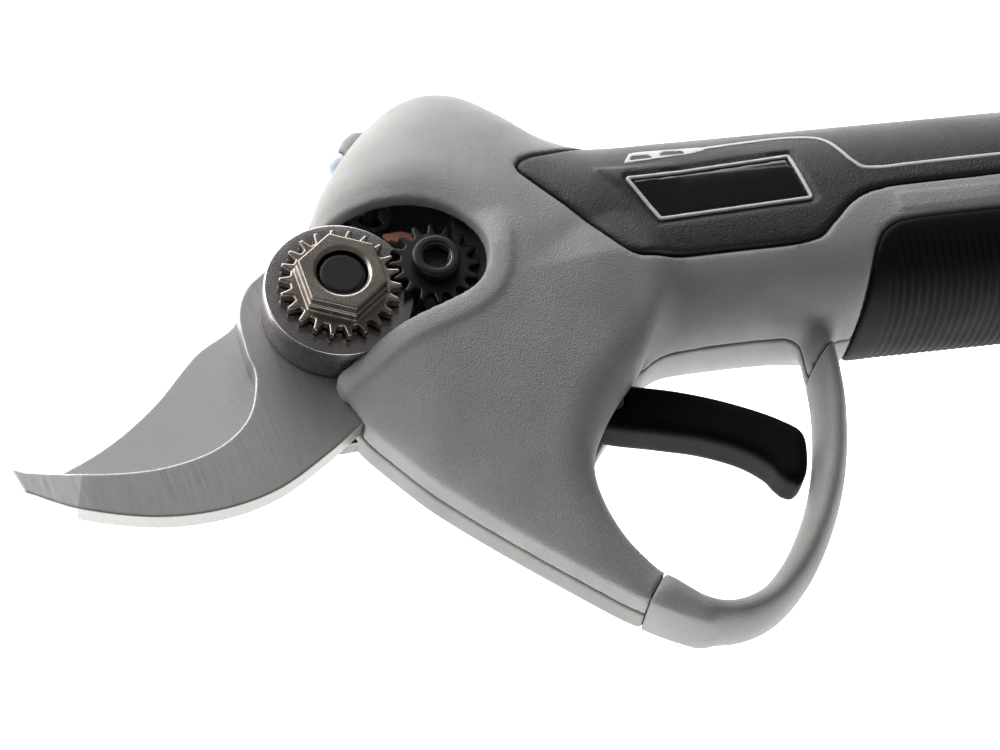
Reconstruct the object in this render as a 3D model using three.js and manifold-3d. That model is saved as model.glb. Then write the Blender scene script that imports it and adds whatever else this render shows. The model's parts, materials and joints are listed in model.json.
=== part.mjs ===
// Battery electric pruner: two-shell housing, bevel-geared shears, planetary gear motor, slide-on battery.
// Tool frame: the pivot bolt is the Z axis, the handle runs along +X, the back of the tool is +Y and the
// nut side is +Z. z = 0 is both the cutting plane and the parting plane of the two shells. Millimetres.
import * as THREE from 'three';
import { mergeVertices } from 'three/addons/utils/BufferGeometryUtils.js';
import Module from 'manifold-3d';

const wasm = await Module();
wasm.setup();

// ---- Driving dimensions -------------------------------------------------------------------------------
const GAP = 0.3; // working gap between neighbouring pieces
const SPLIT = 0.15; // half of the gap at the parting plane
const WALL = 3.4; // housing wall, thick enough to carry the overmoulded panels
const SKIN = 1.5; // thickness of an overmoulded panel
const BADGE_DEPTH = 0.7;
const REST_HALF = 24.5; // half thickness of the head and of the battery pack, which the tool lies on
const HEAD_FRONT = -5;
const HEAD_END = 62;
const HEAD_STEPS = 15; // sections along the head
const HANDLE_FRONT = 44;
const HANDLE_END = 195;
const HANDLE = { centre: 7.4, halfHeight: 23.5, halfWidth: 21.5, power: 2.7 };
const COVER_END = 168; // rear edge of the top cover
const AXIS_TILT = Math.atan2(HANDLE.centre, 96); // the drive line runs from the pivot to the handle's middle

const PIVOT = { bolt: 4.9, bore: 5.2, bush: 7, eye: 7.3 };
const BLADE_Z = [-4.5, -SPLIT];
const HOOK_Z = [SPLIT, 5];
const COLLAR = { radius: 15.4, bottom: 5.3, top: 14.5 };
const NUT = { teeth: 22, module: 1.05, bottom: 14.8, flangeTop: 17.2, top: 21.4, flats: 16, turn: -22 };
const LOCK = { teeth: 16, x: 19.82, y: 2.29, headTop: 20.3 };
const GUARD = { halfWidth: 3.5, halfDepth: 7.7 };
const BEVEL = { gearTeeth: 40, pinionTeeth: 10, inner: 20.2, outer: 24.5 };
const PLANETARY = { sun: 12, planet: 15, ring: 42, module: 0.7, front: 42, back: 47 };
const PLANET_COUNT = 3;
const GEARBOX = { front: 37, back: 50, radius: 17 };
const MOTOR = { front: 50.4, back: 104, radius: 15.8, shaft: 1.6 };
const BLADE_SCREWS = [[24.3, 13], [24.3, -12.2]];
const POWER_BUTTON_X = 158;
const TRIGGER_PIN = { x: 46, y: -24 };
const BATTERY = { front: 196, back: 270, halfHeight: 32, wall: 2.5, capLength: 4 };
const CELL = { radius: 9.25, length: 63, pitch: 18.9 };
const SPIGOT = { front: 172, halfHeight: 12, halfWidth: 13 };
const SCREWS = [[13, 27], [38, 37], [12, -29], [44, -62], [124, 22.5], [124, -8]];

// ---- Solids -------------------------------------------------------------------------------------------
function signedVolume(points, triangles) {
  const [a, b, c] = [new THREE.Vector3(), new THREE.Vector3(), new THREE.Vector3()];
  let volume = 0;
  for (let i = 0; i < triangles.length; i += 3) {
    a.fromArray(points, 3 * triangles[i]);
    b.fromArray(points, 3 * triangles[i + 1]);
    c.fromArray(points, 3 * triangles[i + 2]);
    volume += a.dot(b.cross(c)) / 6;
  }
  return volume;
}

// A closed three.js geometry as a solid, with shared vertices merged and its faces pointing out.
function solidOf(geometry) {
  const bare = geometry.clone();
  bare.deleteAttribute('normal');
  bare.deleteAttribute('uv');
  const merged = mergeVertices(bare, 1e-4);
  const points = new Float32Array(merged.attributes.position.array);
  const source = merged.index.array;
  const triangles = [];
  for (let i = 0; i < source.length; i += 3) {
    const [a, b, c] = [source[i], source[i + 1], source[i + 2]];
    if (a !== b && b !== c && c !== a) triangles.push(a, b, c);
  }
  if (signedVolume(points, triangles) < 0) triangles.reverse();
  return new wasm.Manifold(
    new wasm.Mesh({ numProp: 3, vertProperties: points, triVerts: new Uint32Array(triangles) }),
  );
}

function geometryOf(solid) {
  const mesh = solid.getMesh();
  const geometry = new THREE.BufferGeometry();
  geometry.setAttribute('position', new THREE.BufferAttribute(new Float32Array(mesh.vertProperties), 3));
  geometry.setIndex(new THREE.BufferAttribute(new Uint32Array(mesh.triVerts), 1));
  geometry.computeVertexNormals();
  return geometry;
}

const join = (...solids) => solids.reduce((all, next) => all.add(next));
const cut = (solid, ...tools) => tools.reduce((rest, tool) => rest.subtract(tool), solid);

const vectors = (pairs) => pairs.map(([x, y]) => new THREE.Vector2(x, y));

// A smooth open curve through a few points, as a list of [x, y] pairs.
function smooth(pairs, steps) {
  return new THREE.SplineCurve(vectors(pairs)).getPoints(steps).map((p) => [p.x, p.y]);
}

function prismGeometry(outline, bottom, top) {
  const settings = { depth: top - bottom, bevelEnabled: false };
  return new THREE.ExtrudeGeometry(new THREE.Shape(vectors(outline)), settings).translate(0, 0, bottom);
}

const prism = (outline, bottom, top) => solidOf(prismGeometry(outline, bottom, top));

function disc(radius, bottom, top, x = 0, y = 0, sides = 32) {
  const geometry = new THREE.CylinderGeometry(radius, radius, top - bottom, sides);
  return solidOf(geometry.rotateX(Math.PI / 2).translate(x, y, (top + bottom) / 2));
}

const ring = (outer, inner, bottom, top, sides = 32) =>
  cut(disc(outer, bottom, top, 0, 0, sides), disc(inner, bottom - 1, top + 1, 0, 0, sides));

function block([x0, x1], [y0, y1], [z0, z1]) {
  const geometry = new THREE.BoxGeometry(x1 - x0, y1 - y0, z1 - z0);
  return solidOf(geometry.translate((x0 + x1) / 2, (y0 + y1) / 2, (z0 + z1) / 2));
}

// A turned piece: the profile is a closed list of [radius, z].
function turned(profile, sides = 40) {
  const closed = [...profile, profile[0]];
  return solidOf(new THREE.LatheGeometry(vectors(closed), sides).rotateX(Math.PI / 2));
}

// An extrusion whose far end is scaled, for bevel teeth.
function tapered(outline, length, scale) {
  const geometry = new THREE.ExtrudeGeometry(new THREE.Shape(vectors(outline)), {
    depth: length,
    bevelEnabled: false,
  });
  const position = geometry.attributes.position;
  for (let i = 0; i < position.count; i += 1) {
    if (position.getZ(i) > length / 2) {
      position.setXY(i, position.getX(i) * scale, position.getY(i) * scale);
    }
  }
  return geometry;
}

// Gear outline; inward teeth have a negative side. turn is the angle of a tooth's middle.
function gearOutline(teeth, module, turn = 0, side = 1) {
  const pitch = (2 * Math.PI) / teeth;
  const tip = module * (teeth / 2 + 0.9 * side);
  const root = module * (teeth / 2 - 1.15 * side);
  const corners = [[-0.25, root], [-0.11, tip], [0.11, tip], [0.25, root]];
  const outline = [];
  for (let i = 0; i < teeth; i += 1) {
    for (const [offset, radius] of corners) {
      const angle = turn + (i + offset) * pitch;
      outline.push([radius * Math.cos(angle), radius * Math.sin(angle)]);
    }
  }
  return outline;
}

function hexOutline(flats, turn = 0) {
  const outline = [];
  for (let i = 0; i < 6; i += 1) {
    const angle = turn + (i * Math.PI) / 3;
    outline.push([(flats / Math.sqrt(3)) * Math.cos(angle), (flats / Math.sqrt(3)) * Math.sin(angle)]);
  }
  return outline;
}

// A tube of round section along a path of 3D points.
function wire(points, radius, sides = 6, steps = 60) {
  const path = new THREE.CatmullRomCurve3(points.map((p) => new THREE.Vector3(...p)));
  const section = new THREE.Shape().absarc(0, 0, radius, 0, 2 * Math.PI);
  return solidOf(
    new THREE.ExtrudeGeometry(section, { steps, curveSegments: sides, extrudePath: path }),
  );
}

function coilPoints(radius, length, turns, perTurn = 6) {
  const points = [];
  for (let i = 0; i <= turns * perTurn; i += 1) {
    const angle = (2 * Math.PI * i) / perTurn;
    const along = (length * i) / (turns * perTurn);
    points.push([radius * Math.cos(angle), radius * Math.sin(angle), along]);
  }
  return points;
}

// ---- Housing surface ----------------------------------------------------------------------------------
// A value that runs smoothly through a table of [x, value] stations.
function through(stations) {
  return (x) => {
    const last = stations.length - 1;
    if (x <= stations[0][0]) return stations[0][1];
    if (x >= stations[last][0]) return stations[last][1];
    const i = stations.findIndex((station) => station[0] > x) - 1;
    const [x0, y0] = stations[i];
    const [x1, y1] = stations[i + 1];
    const slope = (a, b) => (stations[b][1] - stations[a][1]) / (stations[b][0] - stations[a][0]);
    const m0 = slope(Math.max(i - 1, 0), i + 1) * (x1 - x0);
    const m1 = slope(i, Math.min(i + 2, last)) * (x1 - x0);
    const t = (x - x0) / (x1 - x0);
    const [t2, t3] = [t * t, t * t * t];
    return (2 * t3 - 3 * t2 + 1) * y0 + (t3 - 2 * t2 + t) * m0 + (3 * t2 - 2 * t3) * y1 + (t3 - t2) * m1;
  };
}

const head = {
  top: through([[-5, 16], [-2, 22.5], [2, 29.5], [8, 37.8], [14, 44], [20, 48.5], [27, 50.6],
    [34, 49], [41, 43.8], [48, 37.6], [55, 33.2], [62, 30.9]]),
  bottom: through([[-5, -21], [2, -28.5], [15, -43.6], [45, -69.7], [54, -75.9], [62, -79.6]]),
  middle: through([[-5, -1], [20, 3], [50, 6.5], [62, HANDLE.centre]]),
  width: through([[-5, 11.5], [0, 16], [6, 20], [14, 23], [24, 24.2], [38, 24.2],
    [50, 23], [62, HANDLE.halfWidth]]),
  topPower: through([[-5, 2.3], [45, 2.3], [62, HANDLE.power]]),
  bottomPower: 1.35,
  keel: 6, // half width of the flat strip along the lower edge
};

// Half width of the head at height y, in its section at x.
function headHalfWidth(x, y, inset) {
  const middle = head.middle(x);
  const width = head.width(x) - inset;
  if (y > middle) {
    const power = head.topPower(x);
    const rise = Math.min((y - middle) / (head.top(x) - inset - middle), 1);
    return width * (1 - rise ** power) ** (1 / power);
  }
  const keel = head.keel - inset / 2;
  const drop = Math.min((middle - y) / (middle - head.bottom(x) - inset), 1);
  return keel + (width - keel) * (1 - drop ** head.bottomPower) ** (1 / head.bottomPower);
}

// One [y, z] point of the head's section; turn runs once round from the top.
function headSection(x, turn, inset) {
  const [up, out] = [Math.cos(turn), Math.sin(turn)];
  const middle = head.middle(x);
  if (up >= 0) {
    const power = 2 / head.topPower(x);
    const width = head.width(x) - inset;
    const height = head.top(x) - inset - middle;
    return [middle + height * up ** power, width * Math.sign(out) * Math.abs(out) ** power];
  }
  const y = middle - (middle - head.bottom(x) - inset) * (-up) ** 0.8;
  return [y, Math.sign(out) * headHalfWidth(x, y, inset)];
}

function handleSection(x, turn, inset) {
  const [up, out] = [Math.cos(turn), Math.sin(turn)];
  const power = 2 / HANDLE.power;
  return [
    HANDLE.centre + (HANDLE.halfHeight - inset) * Math.sign(up) * Math.abs(up) ** power,
    (HANDLE.halfWidth - inset) * Math.sign(out) * Math.abs(out) ** power,
  ];
}

// A cylinder bent to a run of sections from one x to another.
function loft(section, from, to, steps, inset, sides = 24) {
  const geometry = new THREE.CylinderGeometry(1, 1, 1, sides, steps);
  const position = geometry.attributes.position;
  for (let i = 0; i < position.count; i += 1) {
    const x = from + (to - from) * (position.getY(i) + 0.5);
    const hub = Math.hypot(position.getX(i), position.getZ(i)) < 0.5;
    const turn = Math.atan2(position.getX(i), position.getZ(i));
    const [y, z] = hub ? [HANDLE.centre, 0] : section(x, turn, inset);
    position.setXYZ(i, x, y, z);
  }
  return solidOf(geometry);
}

const OPENING = [
  ...smooth([[61, -73.2], [55, -67.6], [49, -59.8], [45.4, -50.5], [45, -43], [48.5, -35.6],
    [54, -28.4], [60, -23], [67, -19.2], [76, -17.2]], 24),
  [130, -17.2], [130, -95], [61, -95],
];
const WINDOW = [
  ...smooth([[-12, 17], [4, 17.2], [16, 15.4], [24, 11.8], [28.9, 6.4], [29.9, 0.6], [27.5, -5.2],
    [22, -8.5], [10, -11.8], [2, -15], [-12, -20]], 28),
];
const COVER_EDGE = [
  ...smooth([[68, 36], [50.6, 25.8], [43.8, 23.2], [41.4, 20], [44.8, 14.2], [50.4, 6.8], [57.6, -2]], 14),
  ...smooth([[61, -3.6], [80, -3.4], [97.5, -2.8], [103, 0.6], [108, 5], [114, 7.4], [126, 8.2],
    [COVER_END, 8.6]], 16),
  [COVER_END, 40], [70, 40],
];
const BADGE = [[62.6, 14.9], [67.4, 5.4], [99.4, 7], [97.2, 17.3]];
const GRIP_EDGE = [
  [106.6, -24],
  ...smooth([[107, -18], [108.7, -13], [111.4, -5.6], [114.3, -1.9], [119, -0.4], [130, 0]], 10),
  [184, 0], [190, -24],
];

// The same outline grown outwards, for the clearance round a seated piece.
function grown(outline, amount) {
  const count = outline.length;
  const outward = amount * Math.sign(THREE.ShapeUtils.area(vectors(outline)));
  return outline.map(([x, y], i) => {
    const [px, py] = outline[(i + count - 1) % count];
    const [nx, ny] = outline[(i + 1) % count];
    const length = Math.hypot(nx - px, ny - py);
    return [x + (outward * (ny - py)) / length, y - (outward * (nx - px)) / length];
  });
}

// The body's own outer skin, drawn in by an inset and run on past its ends by some slack.
function body(inset, slack = 0) {
  return join(
    loft(headSection, HEAD_FRONT - slack, HEAD_END, HEAD_STEPS, inset),
    loft(handleSection, HANDLE_FRONT, HANDLE_END + slack, 1, inset),
  );
}

// Everything inside an outline, seen along Z, that lies less than a depth under the body's skin.
const recess = (outline, depth) => cut(prism(outline, -40, 40), body(depth, 3));

const panel = (outline, depth) => recess(outline, depth).intersect(body(0));

function bosses(radius, bottom, top) {
  return join(...SCREWS.map(([x, y]) => disc(radius, bottom, top, x, y, 16)));
}

function triggerSlot() {
  return block([36, 63], [-41, -12], [-6, 6]);
}

// Both shells before they are parted.
function housing() {
  const outer = body(0);
  const inner = body(WALL, 3);
  const opening = prism(OPENING, -40, 40);
  const openingWall = prism(grown(OPENING, 2.6), -40, 40);
  const hollow = cut(inner, cut(openingWall, block([62, 140], [-18, 40], [-40, 40])));
  const pinBoss = disc(4, -30, 30, TRIGGER_PIN.x, TRIGGER_PIN.y, 20);
  const pinPost = cut(pinBoss, block([30, 60], [-40, 0], [-6.2, 6.2]));
  const posts = join(bosses(3.9, -30, 30), pinPost).intersect(outer);
  const shell = join(cut(outer, hollow), cut(posts, opening));
  return cut(
    shell,
    opening,
    triggerSlot(),
    recess(grown(COVER_EDGE, GAP), SKIN + GAP),
    recess(grown(GRIP_EDGE, GAP), SKIN + GAP),
    block([COVER_END + 8.7, COVER_END + 20.3], [15, 40], [-6.3, 6.3]),
    ledSeat(GAP),
    powerButtonHole(),
    disc(20.2, -5.2, 5.3, 0, 0, 48),
    disc(COLLAR.radius + 0.4, 4, COLLAR.top + GAP, 0, 0, 48),
    prism(grown(counterBladeOutline(), GAP), 0, HOOK_Z[1] + GAP),
    prism(grown(cuttingBladeOutline(), 2 * GAP), BLADE_Z[0] - GAP, 0),
    disc(1.8, -9.4, 9.4, TRIGGER_PIN.x, TRIGGER_PIN.y, 16),
  );
}

function ledSeat(slack) {
  const seat = [[2.5, 33.5], [12.5, 33.5], [15.5, 41], [12.4, 46.3], [9.2, 45.8], [5.8, 42.2]];
  const outline = grown(seat, slack);
  return prism(outline, -6.5 - slack, 6.5 + slack);
}

function housingLeft() {
  const half = block([-20, 220], [-100, 60], [SPLIT, 40]);
  const pilotHoles = bosses(1.75, -1, 9);
  return cut(housing().intersect(half), prism(WINDOW, 2, 40), pilotHoles);
}

function housingRight() {
  const half = block([-20, 220], [-100, 60], [-40, -SPLIT]);
  return cut(
    housing().intersect(half),
    disc(21.4, -40, -2, 0, 0, 48),
    disc(BEVEL.outer + 1.2, -12.8, -3.4, 0, 0, 48).intersect(block([0, 30], [-30, 0], [-20, 0])),
    bosses(1.75, -12, 1),
    bosses(3.3, -40, -6),
  );
}

function housingScrew() {
  return cut(
    join(disc(1.5, -6.2, 8, 0, 0, 8), disc(2.9, -8.6, -6.2, 0, 0, 12)),
    prism(hexOutline(2.4), -9, -7.2),
  );
}

function triggerGuard() {
  const middle = [[61.4, -76.2], [68, -77.2], [75, -75.2], [81.4, -69.9], [87, -62.6], [91.8, -54],
    [95.3, -45], [97.6, -36], [98.9, -27], [99.4, -16.5]];
  const path = new THREE.CatmullRomCurve3(middle.map(([x, y]) => new THREE.Vector3(x, y, 0)));
  const section = new THREE.Shape().absellipse(0, 0, GUARD.halfDepth, GUARD.halfWidth, 0, 2 * Math.PI);
  const frames = { steps: 18, curveSegments: 7, extrudePath: path };
  const bow = solidOf(new THREE.ExtrudeGeometry(section, frames));
  return cut(
    bow,
    block([40, 61 + GAP], [-90, -60], [-20, 20]),
    loft(handleSection, 80, 130, 1, -GAP),
  );
}

// ---- Shear head ---------------------------------------------------------------------------------------
function counterBladeOutline() {
  const edge = smooth([[-13, 11.6], [-17.2, 7.9], [-19.7, 1.8], [-19.5, -6.7], [-18.6, -13], [-21.5, -22],
    [-28.9, -28.2], [-40, -31.2], [-52.2, -31.1], [-64.5, -29], [-69.5, -27.3]], 28);
  const back = smooth([[-67.5, -32.9], [-56.8, -38.6], [-42.7, -42.1], [-29.5, -42], [-17.8, -38.8],
    [-6.9, -32.1], [2, -25.5], [12, -20]], 20);
  return [...edge, ...back, [27, -17], [27, 17], [14, 17], [4, 19], [-6, 16.6]];
}

function counterBlade() {
  const pinionRoom = block([19.6, 40], [-6.2, 9.8], [-5, 10]);
  return cut(
    prism(counterBladeOutline(), ...HOOK_Z),
    disc(PIVOT.eye, -1, 8),
    pinionRoom,
    ...BLADE_SCREWS.map(([x, y]) => disc(2.4, -1, 8, x, y, 16)),
  );
}

function cuttingBladeOutline() {
  const back = smooth([[-8, 17.8], [-16, 11], [-20.3, 2.5], [-29.1, -3.5], [-39.3, -14.3], [-50.8, -23],
    [-66, -30.2]], 20);
  const belly = smooth([[-65, -31.6], [-56, -35.6], [-44, -38], [-32, -37.8], [-20, -34], [-11, -28],
    [-2, -19.4]], 20);
  const eye = [];
  for (let angle = -84; angle <= 112; angle += 14) {
    const turn = THREE.MathUtils.degToRad(angle);
    eye.push([19.4 * Math.cos(turn), 19.4 * Math.sin(turn)]);
  }
  return [...back, ...belly, ...eye];
}

const cuttingBlade = () => cut(prism(cuttingBladeOutline(), ...BLADE_Z), disc(PIVOT.eye, -10, 5));

// One face-gear tooth, its flanks running to the pivot axis, then turned to its place on the sector.
function sectorTooth(angle) {
  const half = (Math.PI / BEVEL.gearTeeth) * BEVEL.inner;
  const [tip, foot] = [-0.205 * BEVEL.inner, -0.4 * BEVEL.inner];
  const outline = [[-0.62 * half, foot], [0.62 * half, foot], [0.24 * half, tip], [-0.24 * half, tip]];
  const radially = new THREE.Matrix4().set(0, 0, 1, 0, 1, 0, 0, 0, 0, 1, 0, 0, 0, 0, 0, 1);
  const tooth = tapered(outline, BEVEL.outer - BEVEL.inner, BEVEL.outer / BEVEL.inner);
  return solidOf(tooth.applyMatrix4(radially).translate(BEVEL.inner, 0, 0).rotateZ(angle));
}

function bladeGear() {
  const pitch = (2 * Math.PI) / BEVEL.gearTeeth;
  const [firstTooth, lastTooth] = [-2, 7];
  const rim = [];
  const teeth = [];
  for (let i = firstTooth; i <= lastTooth; i += 1) {
    teeth.push(sectorTooth(AXIS_TILT + (i + 0.5) * pitch));
  }
  for (let i = firstTooth - 0.2; i <= lastTooth + 1.2; i += 0.5) {
    const angle = AXIS_TILT + i * pitch;
    rim.push([(BEVEL.outer + 0.6) * Math.cos(angle), (BEVEL.outer + 0.6) * Math.sin(angle)]);
  }
  const sector = prism([[0, 0], ...rim], -10, -7.7);
  return cut(join(disc(19.4, -10, -4.8, 0, 0, 48), sector, ...teeth), disc(PIVOT.eye, -12, 0));
}

function pivotNut() {
  const towardPinion = Math.atan2(LOCK.y, LOCK.x);
  const flange = prism(gearOutline(NUT.teeth, NUT.module, towardPinion), NUT.bottom, NUT.flangeTop);
  const hex = prism(hexOutline(NUT.flats, THREE.MathUtils.degToRad(NUT.turn)), NUT.flangeTop - 0.5, NUT.top);
  const chamfer = turned([[0, 0], [12, 0], [12, NUT.top - 1.1], [8, NUT.top + 0.4], [0, NUT.top + 0.4]]);
  return cut(join(flange, hex).intersect(chamfer), disc(PIVOT.bore, 0, 30, 0, 0, 24));
}

function pivotBolt() {
  const headHex = prism(hexOutline(17), -21, -17.3);
  return join(headHex, disc(PIVOT.bolt, -17.4, 20.2, 0, 0, 24));
}

function lockPinion() {
  const towardNut = Math.atan2(LOCK.y, LOCK.x) + Math.PI;
  const outline = gearOutline(LOCK.teeth, NUT.module, towardNut + Math.PI / LOCK.teeth);
  return cut(prism(outline, NUT.bottom, NUT.flangeTop), disc(2.7, 0, 30, 0, 0, 16));
}

function lockScrew() {
  const socket = prism(hexOutline(5), 18.2, 30);
  return cut(join(disc(5, 17.5, LOCK.headTop, 0, 0, 24), disc(2.4, 9, 17.5, 0, 0, 16)), socket);
}

function counterBladeScrew() {
  return cut(join(disc(3.2, 5.3, 6.6, 0, 0, 20), disc(2, -3.4, 5.4, 0, 0, 12)), prism(hexOutline(3), 5.8, 9));
}

function gearCase() {
  const tail = block([6, 35.2], [-18, 18], [-17, -13]).intersect(body(WALL + GAP, 3));
  const plate = join(disc(20.8, -17, -13, 0, 0, 40), tail);
  const rear = block([28, 35.2], [-17, 17], [-14, 14.4]);
  const pads = join(block([20, 29], [9.9, 17], [-3.9, -SPLIT]), block([20, 29], [-17, -6.6], [-3.9, -SPLIT]));
  const roof = join(block([17, 29], [-7, 7], [7.8, 12]), disc(6.4, 7.8, 14.5, LOCK.x, LOCK.y, 28));
  const lamp = block([26, 29], [-7, 14], [8, 14.4]);
  const pinionBore = disc(10.3, -8.2, 8.2, 0, 0, 32);
  const across = new THREE.Matrix4().makeRotationY(Math.PI / 2);
  const alongAxis = geometryOf(pinionBore).applyMatrix4(across);
  const bore = solidOf(alongAxis.translate(32, 32 * Math.tan(AXIS_TILT), 0));
  return cut(
    join(plate, rear, pads, roof, lamp),
    bore,
    disc(19.9, -12.9, 0, 0, 0, 48),
    disc(15.9, 5, 20, 0, 0, 48),
    disc(PIVOT.bore, -20, 0, 0, 0, 24),
    disc(2.7, 8.4, 20, LOCK.x, LOCK.y, 16),
    ...BLADE_SCREWS.map(([x, y]) => disc(2.3, -3.7, 0, x, y, 16)),
  );
}

// ---- Drive line, built along +Z and laid along the handle afterwards ----------------------------------
function bevelPinion() {
  const module = (2 * BEVEL.inner) / BEVEL.gearTeeth;
  const length = BEVEL.outer - BEVEL.inner;
  const cone = tapered(gearOutline(BEVEL.pinionTeeth, module), length, BEVEL.outer / BEVEL.inner);
  const teeth = solidOf(cone.translate(0, 0, BEVEL.inner));
  return join(teeth, disc(3.9, BEVEL.outer - 0.5, 38, 0, 0, 24));
}

function pinionBearing() {
  return ring(9.9, 4.1, 28.8, 34.6, 28);
}

function planetAngles() {
  return Array.from({ length: PLANET_COUNT }, (_, i) => (2 * Math.PI * i) / PLANET_COUNT);
}

const planetOrbit = (PLANETARY.module * (PLANETARY.sun + PLANETARY.planet)) / 2;

function planetCarrier() {
  const pins = planetAngles().map((angle) =>
    disc(1.5, 40.8, PLANETARY.back, planetOrbit * Math.cos(angle), planetOrbit * Math.sin(angle), 12));
  return join(disc(13.2, 38.3, 41, 0, 0, 36), ...pins);
}

function planetGear(angle) {
  const facingGap = angle + Math.PI + Math.PI / PLANETARY.planet;
  const outline = gearOutline(PLANETARY.planet, PLANETARY.module, facingGap);
  return cut(prism(outline, PLANETARY.front, PLANETARY.back), disc(1.8, 0, 90, 0, 0, 12));
}

function sunGear() {
  const outline = gearOutline(PLANETARY.sun, PLANETARY.module);
  return cut(prism(outline, PLANETARY.front, PLANETARY.back), disc(MOTOR.shaft + 0.3, 0, 90, 0, 0, 16));
}

function gearboxHousing() {
  const tube = disc(GEARBOX.radius, GEARBOX.front, GEARBOX.back, 0, 0, 36);
  const halfTooth = Math.PI / PLANETARY.ring;
  const internal = prism(gearOutline(PLANETARY.ring, PLANETARY.module, halfTooth, -1), GEARBOX.front + 1, 80);
  return cut(tube, internal, disc(5, 0, 80, 0, 0, 24), disc(15.6, 48, 80, 0, 0, 36));
}

function motorCan() {
  const tube = ring(MOTOR.radius, MOTOR.radius - 1.4, MOTOR.front, MOTOR.back, 28);
  const face = ring(MOTOR.radius - 0.7, 4, MOTOR.front, MOTOR.front + 2.5, 28);
  return join(tube, face);
}

function motorStator() {
  const outline = gearOutline(9, 2.45, 0, -1);
  const core = disc(MOTOR.radius - 1.8, MOTOR.front + 8, MOTOR.back - 12, 0, 0, 28);
  return cut(core, prism(outline, 0, 200));
}

function motorRotor() {
  return join(
    disc(8.4, MOTOR.front + 9, MOTOR.back - 13, 0, 0, 28),
    disc(MOTOR.shaft, PLANETARY.front - 0.3, MOTOR.back - 2, 0, 0, 16),
  );
}

function motorCap() {
  const cap = disc(MOTOR.radius, MOTOR.back + GAP, MOTOR.back + 4, 0, 0, 28);
  const spigot = ring(MOTOR.radius - 1.9, 11, MOTOR.back - 4, MOTOR.back + 1, 28);
  return cut(join(cap, spigot), disc(3, MOTOR.back - 6, MOTOR.back + 2.4, 0, 0, 16));
}

// ---- Trigger, lamp, buttons and trim ------------------------------------------------------------------
function trigger() {
  const top = smooth([[50, -21.4], [58.6, -23.6], [66.3, -25.6], [74.6, -28.6], [83, -32.6], [89.4, -36.8],
    [91.2, -40.4], [90.8, -45], [89.2, -48.4], [86.8, -50], [84.6, -49.2]], 24);
  const belly = smooth([[83.2, -47.2], [81.6, -44.6], [77.1, -41], [69.7, -37.6], [61.2, -35.2],
    [50.1, -32.2], [43.4, -28]], 16);
  const root = [[41.8, -25.6], [41.8, -22.4], [44, -20], [47, -19.6]];
  return cut(
    prism([...top, ...belly, ...root], -5, 5),
    disc(1.8, -10, 10, TRIGGER_PIN.x, TRIGGER_PIN.y, 16),
    disc(2.5, 1, 10, 53, -27, 16),
  );
}

function triggerSpring() {
  const spring = geometryOf(wire(coilPoints(1.9, 5.4, 4), 0.35, 2, 26));
  return solidOf(spring.rotateX(-Math.PI / 2).translate(56, -20.4, 0));
}

function badge(side) {
  return panel(BADGE, BADGE_DEPTH).intersect(block([0, 200], [-60, 60], side > 0 ? [0, 40] : [-40, 0]));
}

function topCover() {
  const badgeSeat = recess(grown(BADGE, 2 * GAP), BADGE_DEPTH + GAP);
  return cut(panel(COVER_EDGE, SKIN), badgeSeat, powerButtonHole());
}

function ledHolder() {
  return cut(
    ledSeat(0).intersect(body(-1.2)),
    block([0, 9], [36.5, 41.8], [-4, 4]),
    block([8, 30], [30, 43.5], [-5, 5]),
  );
}

function controlBoard() {
  const board = prism([[18, -24], [35.5, -24], [35.5, -52], [18, -35.5]], -0.8, 0.8);
  return join(
    board,
    block([21, 28], [-33, -26], [0.7, 2.4]),
    block([28, 33], [-46, -41], [0.7, 4.6]),
    block([30.5, 34], [-36, -28], [-3.4, -0.7]),
  );
}

function releaseButton() {
  return join(block([COVER_END + 9, COVER_END + 20], [25.4, 31.4], [-6, 6]),
    block([COVER_END + 8, COVER_END + 21], [23.6, 25.4], [-7, 7]));
}

function releaseSpring() {
  const spring = geometryOf(wire(coilPoints(2.4, 3.4, 3), 0.35, 2, 20));
  return solidOf(spring.rotateX(-Math.PI / 2).translate(COVER_END + 14.5, 19.9, 0));
}

function powerButtonHole() {
  const hole = geometryOf(disc(4.9, 15, 60, 0, 0, 20));
  return solidOf(hole.rotateX(-Math.PI / 2).translate(POWER_BUTTON_X, 0, 0));
}

function powerButton() {
  const cap = join(disc(4.5, 24.4, 31.3, 0, 0, 24), disc(5.6, 23, 24.5, 0, 0, 24));
  return solidOf(geometryOf(cap).rotateX(-Math.PI / 2).translate(POWER_BUTTON_X, 0, 0));
}

// ---- Battery ------------------------------------------------------------------------------------------
function roundedBox(halfY, halfZ, corner, from, to) {
  const outline = [];
  const steps = 5;
  for (const [sy, sz, start] of [[1, 1, 0], [-1, 1, 90], [-1, -1, 180], [1, -1, 270]]) {
    for (let i = 0; i <= steps; i += 1) {
      const turn = THREE.MathUtils.degToRad(start + (90 * i) / steps);
      const [y, z] = [sy * (halfY - corner), sz * (halfZ - corner)];
      outline.push([y + corner * Math.cos(turn), z + corner * Math.sin(turn)]);
    }
  }
  const alongX = new THREE.Matrix4().set(0, 0, 1, 0, 1, 0, 0, 0, 0, 1, 0, 0, 0, 0, 0, 1);
  const geometry = prismGeometry(outline, from, to).applyMatrix4(alongX);
  return solidOf(geometry.translate(0, HANDLE.centre, 0));
}

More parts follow.
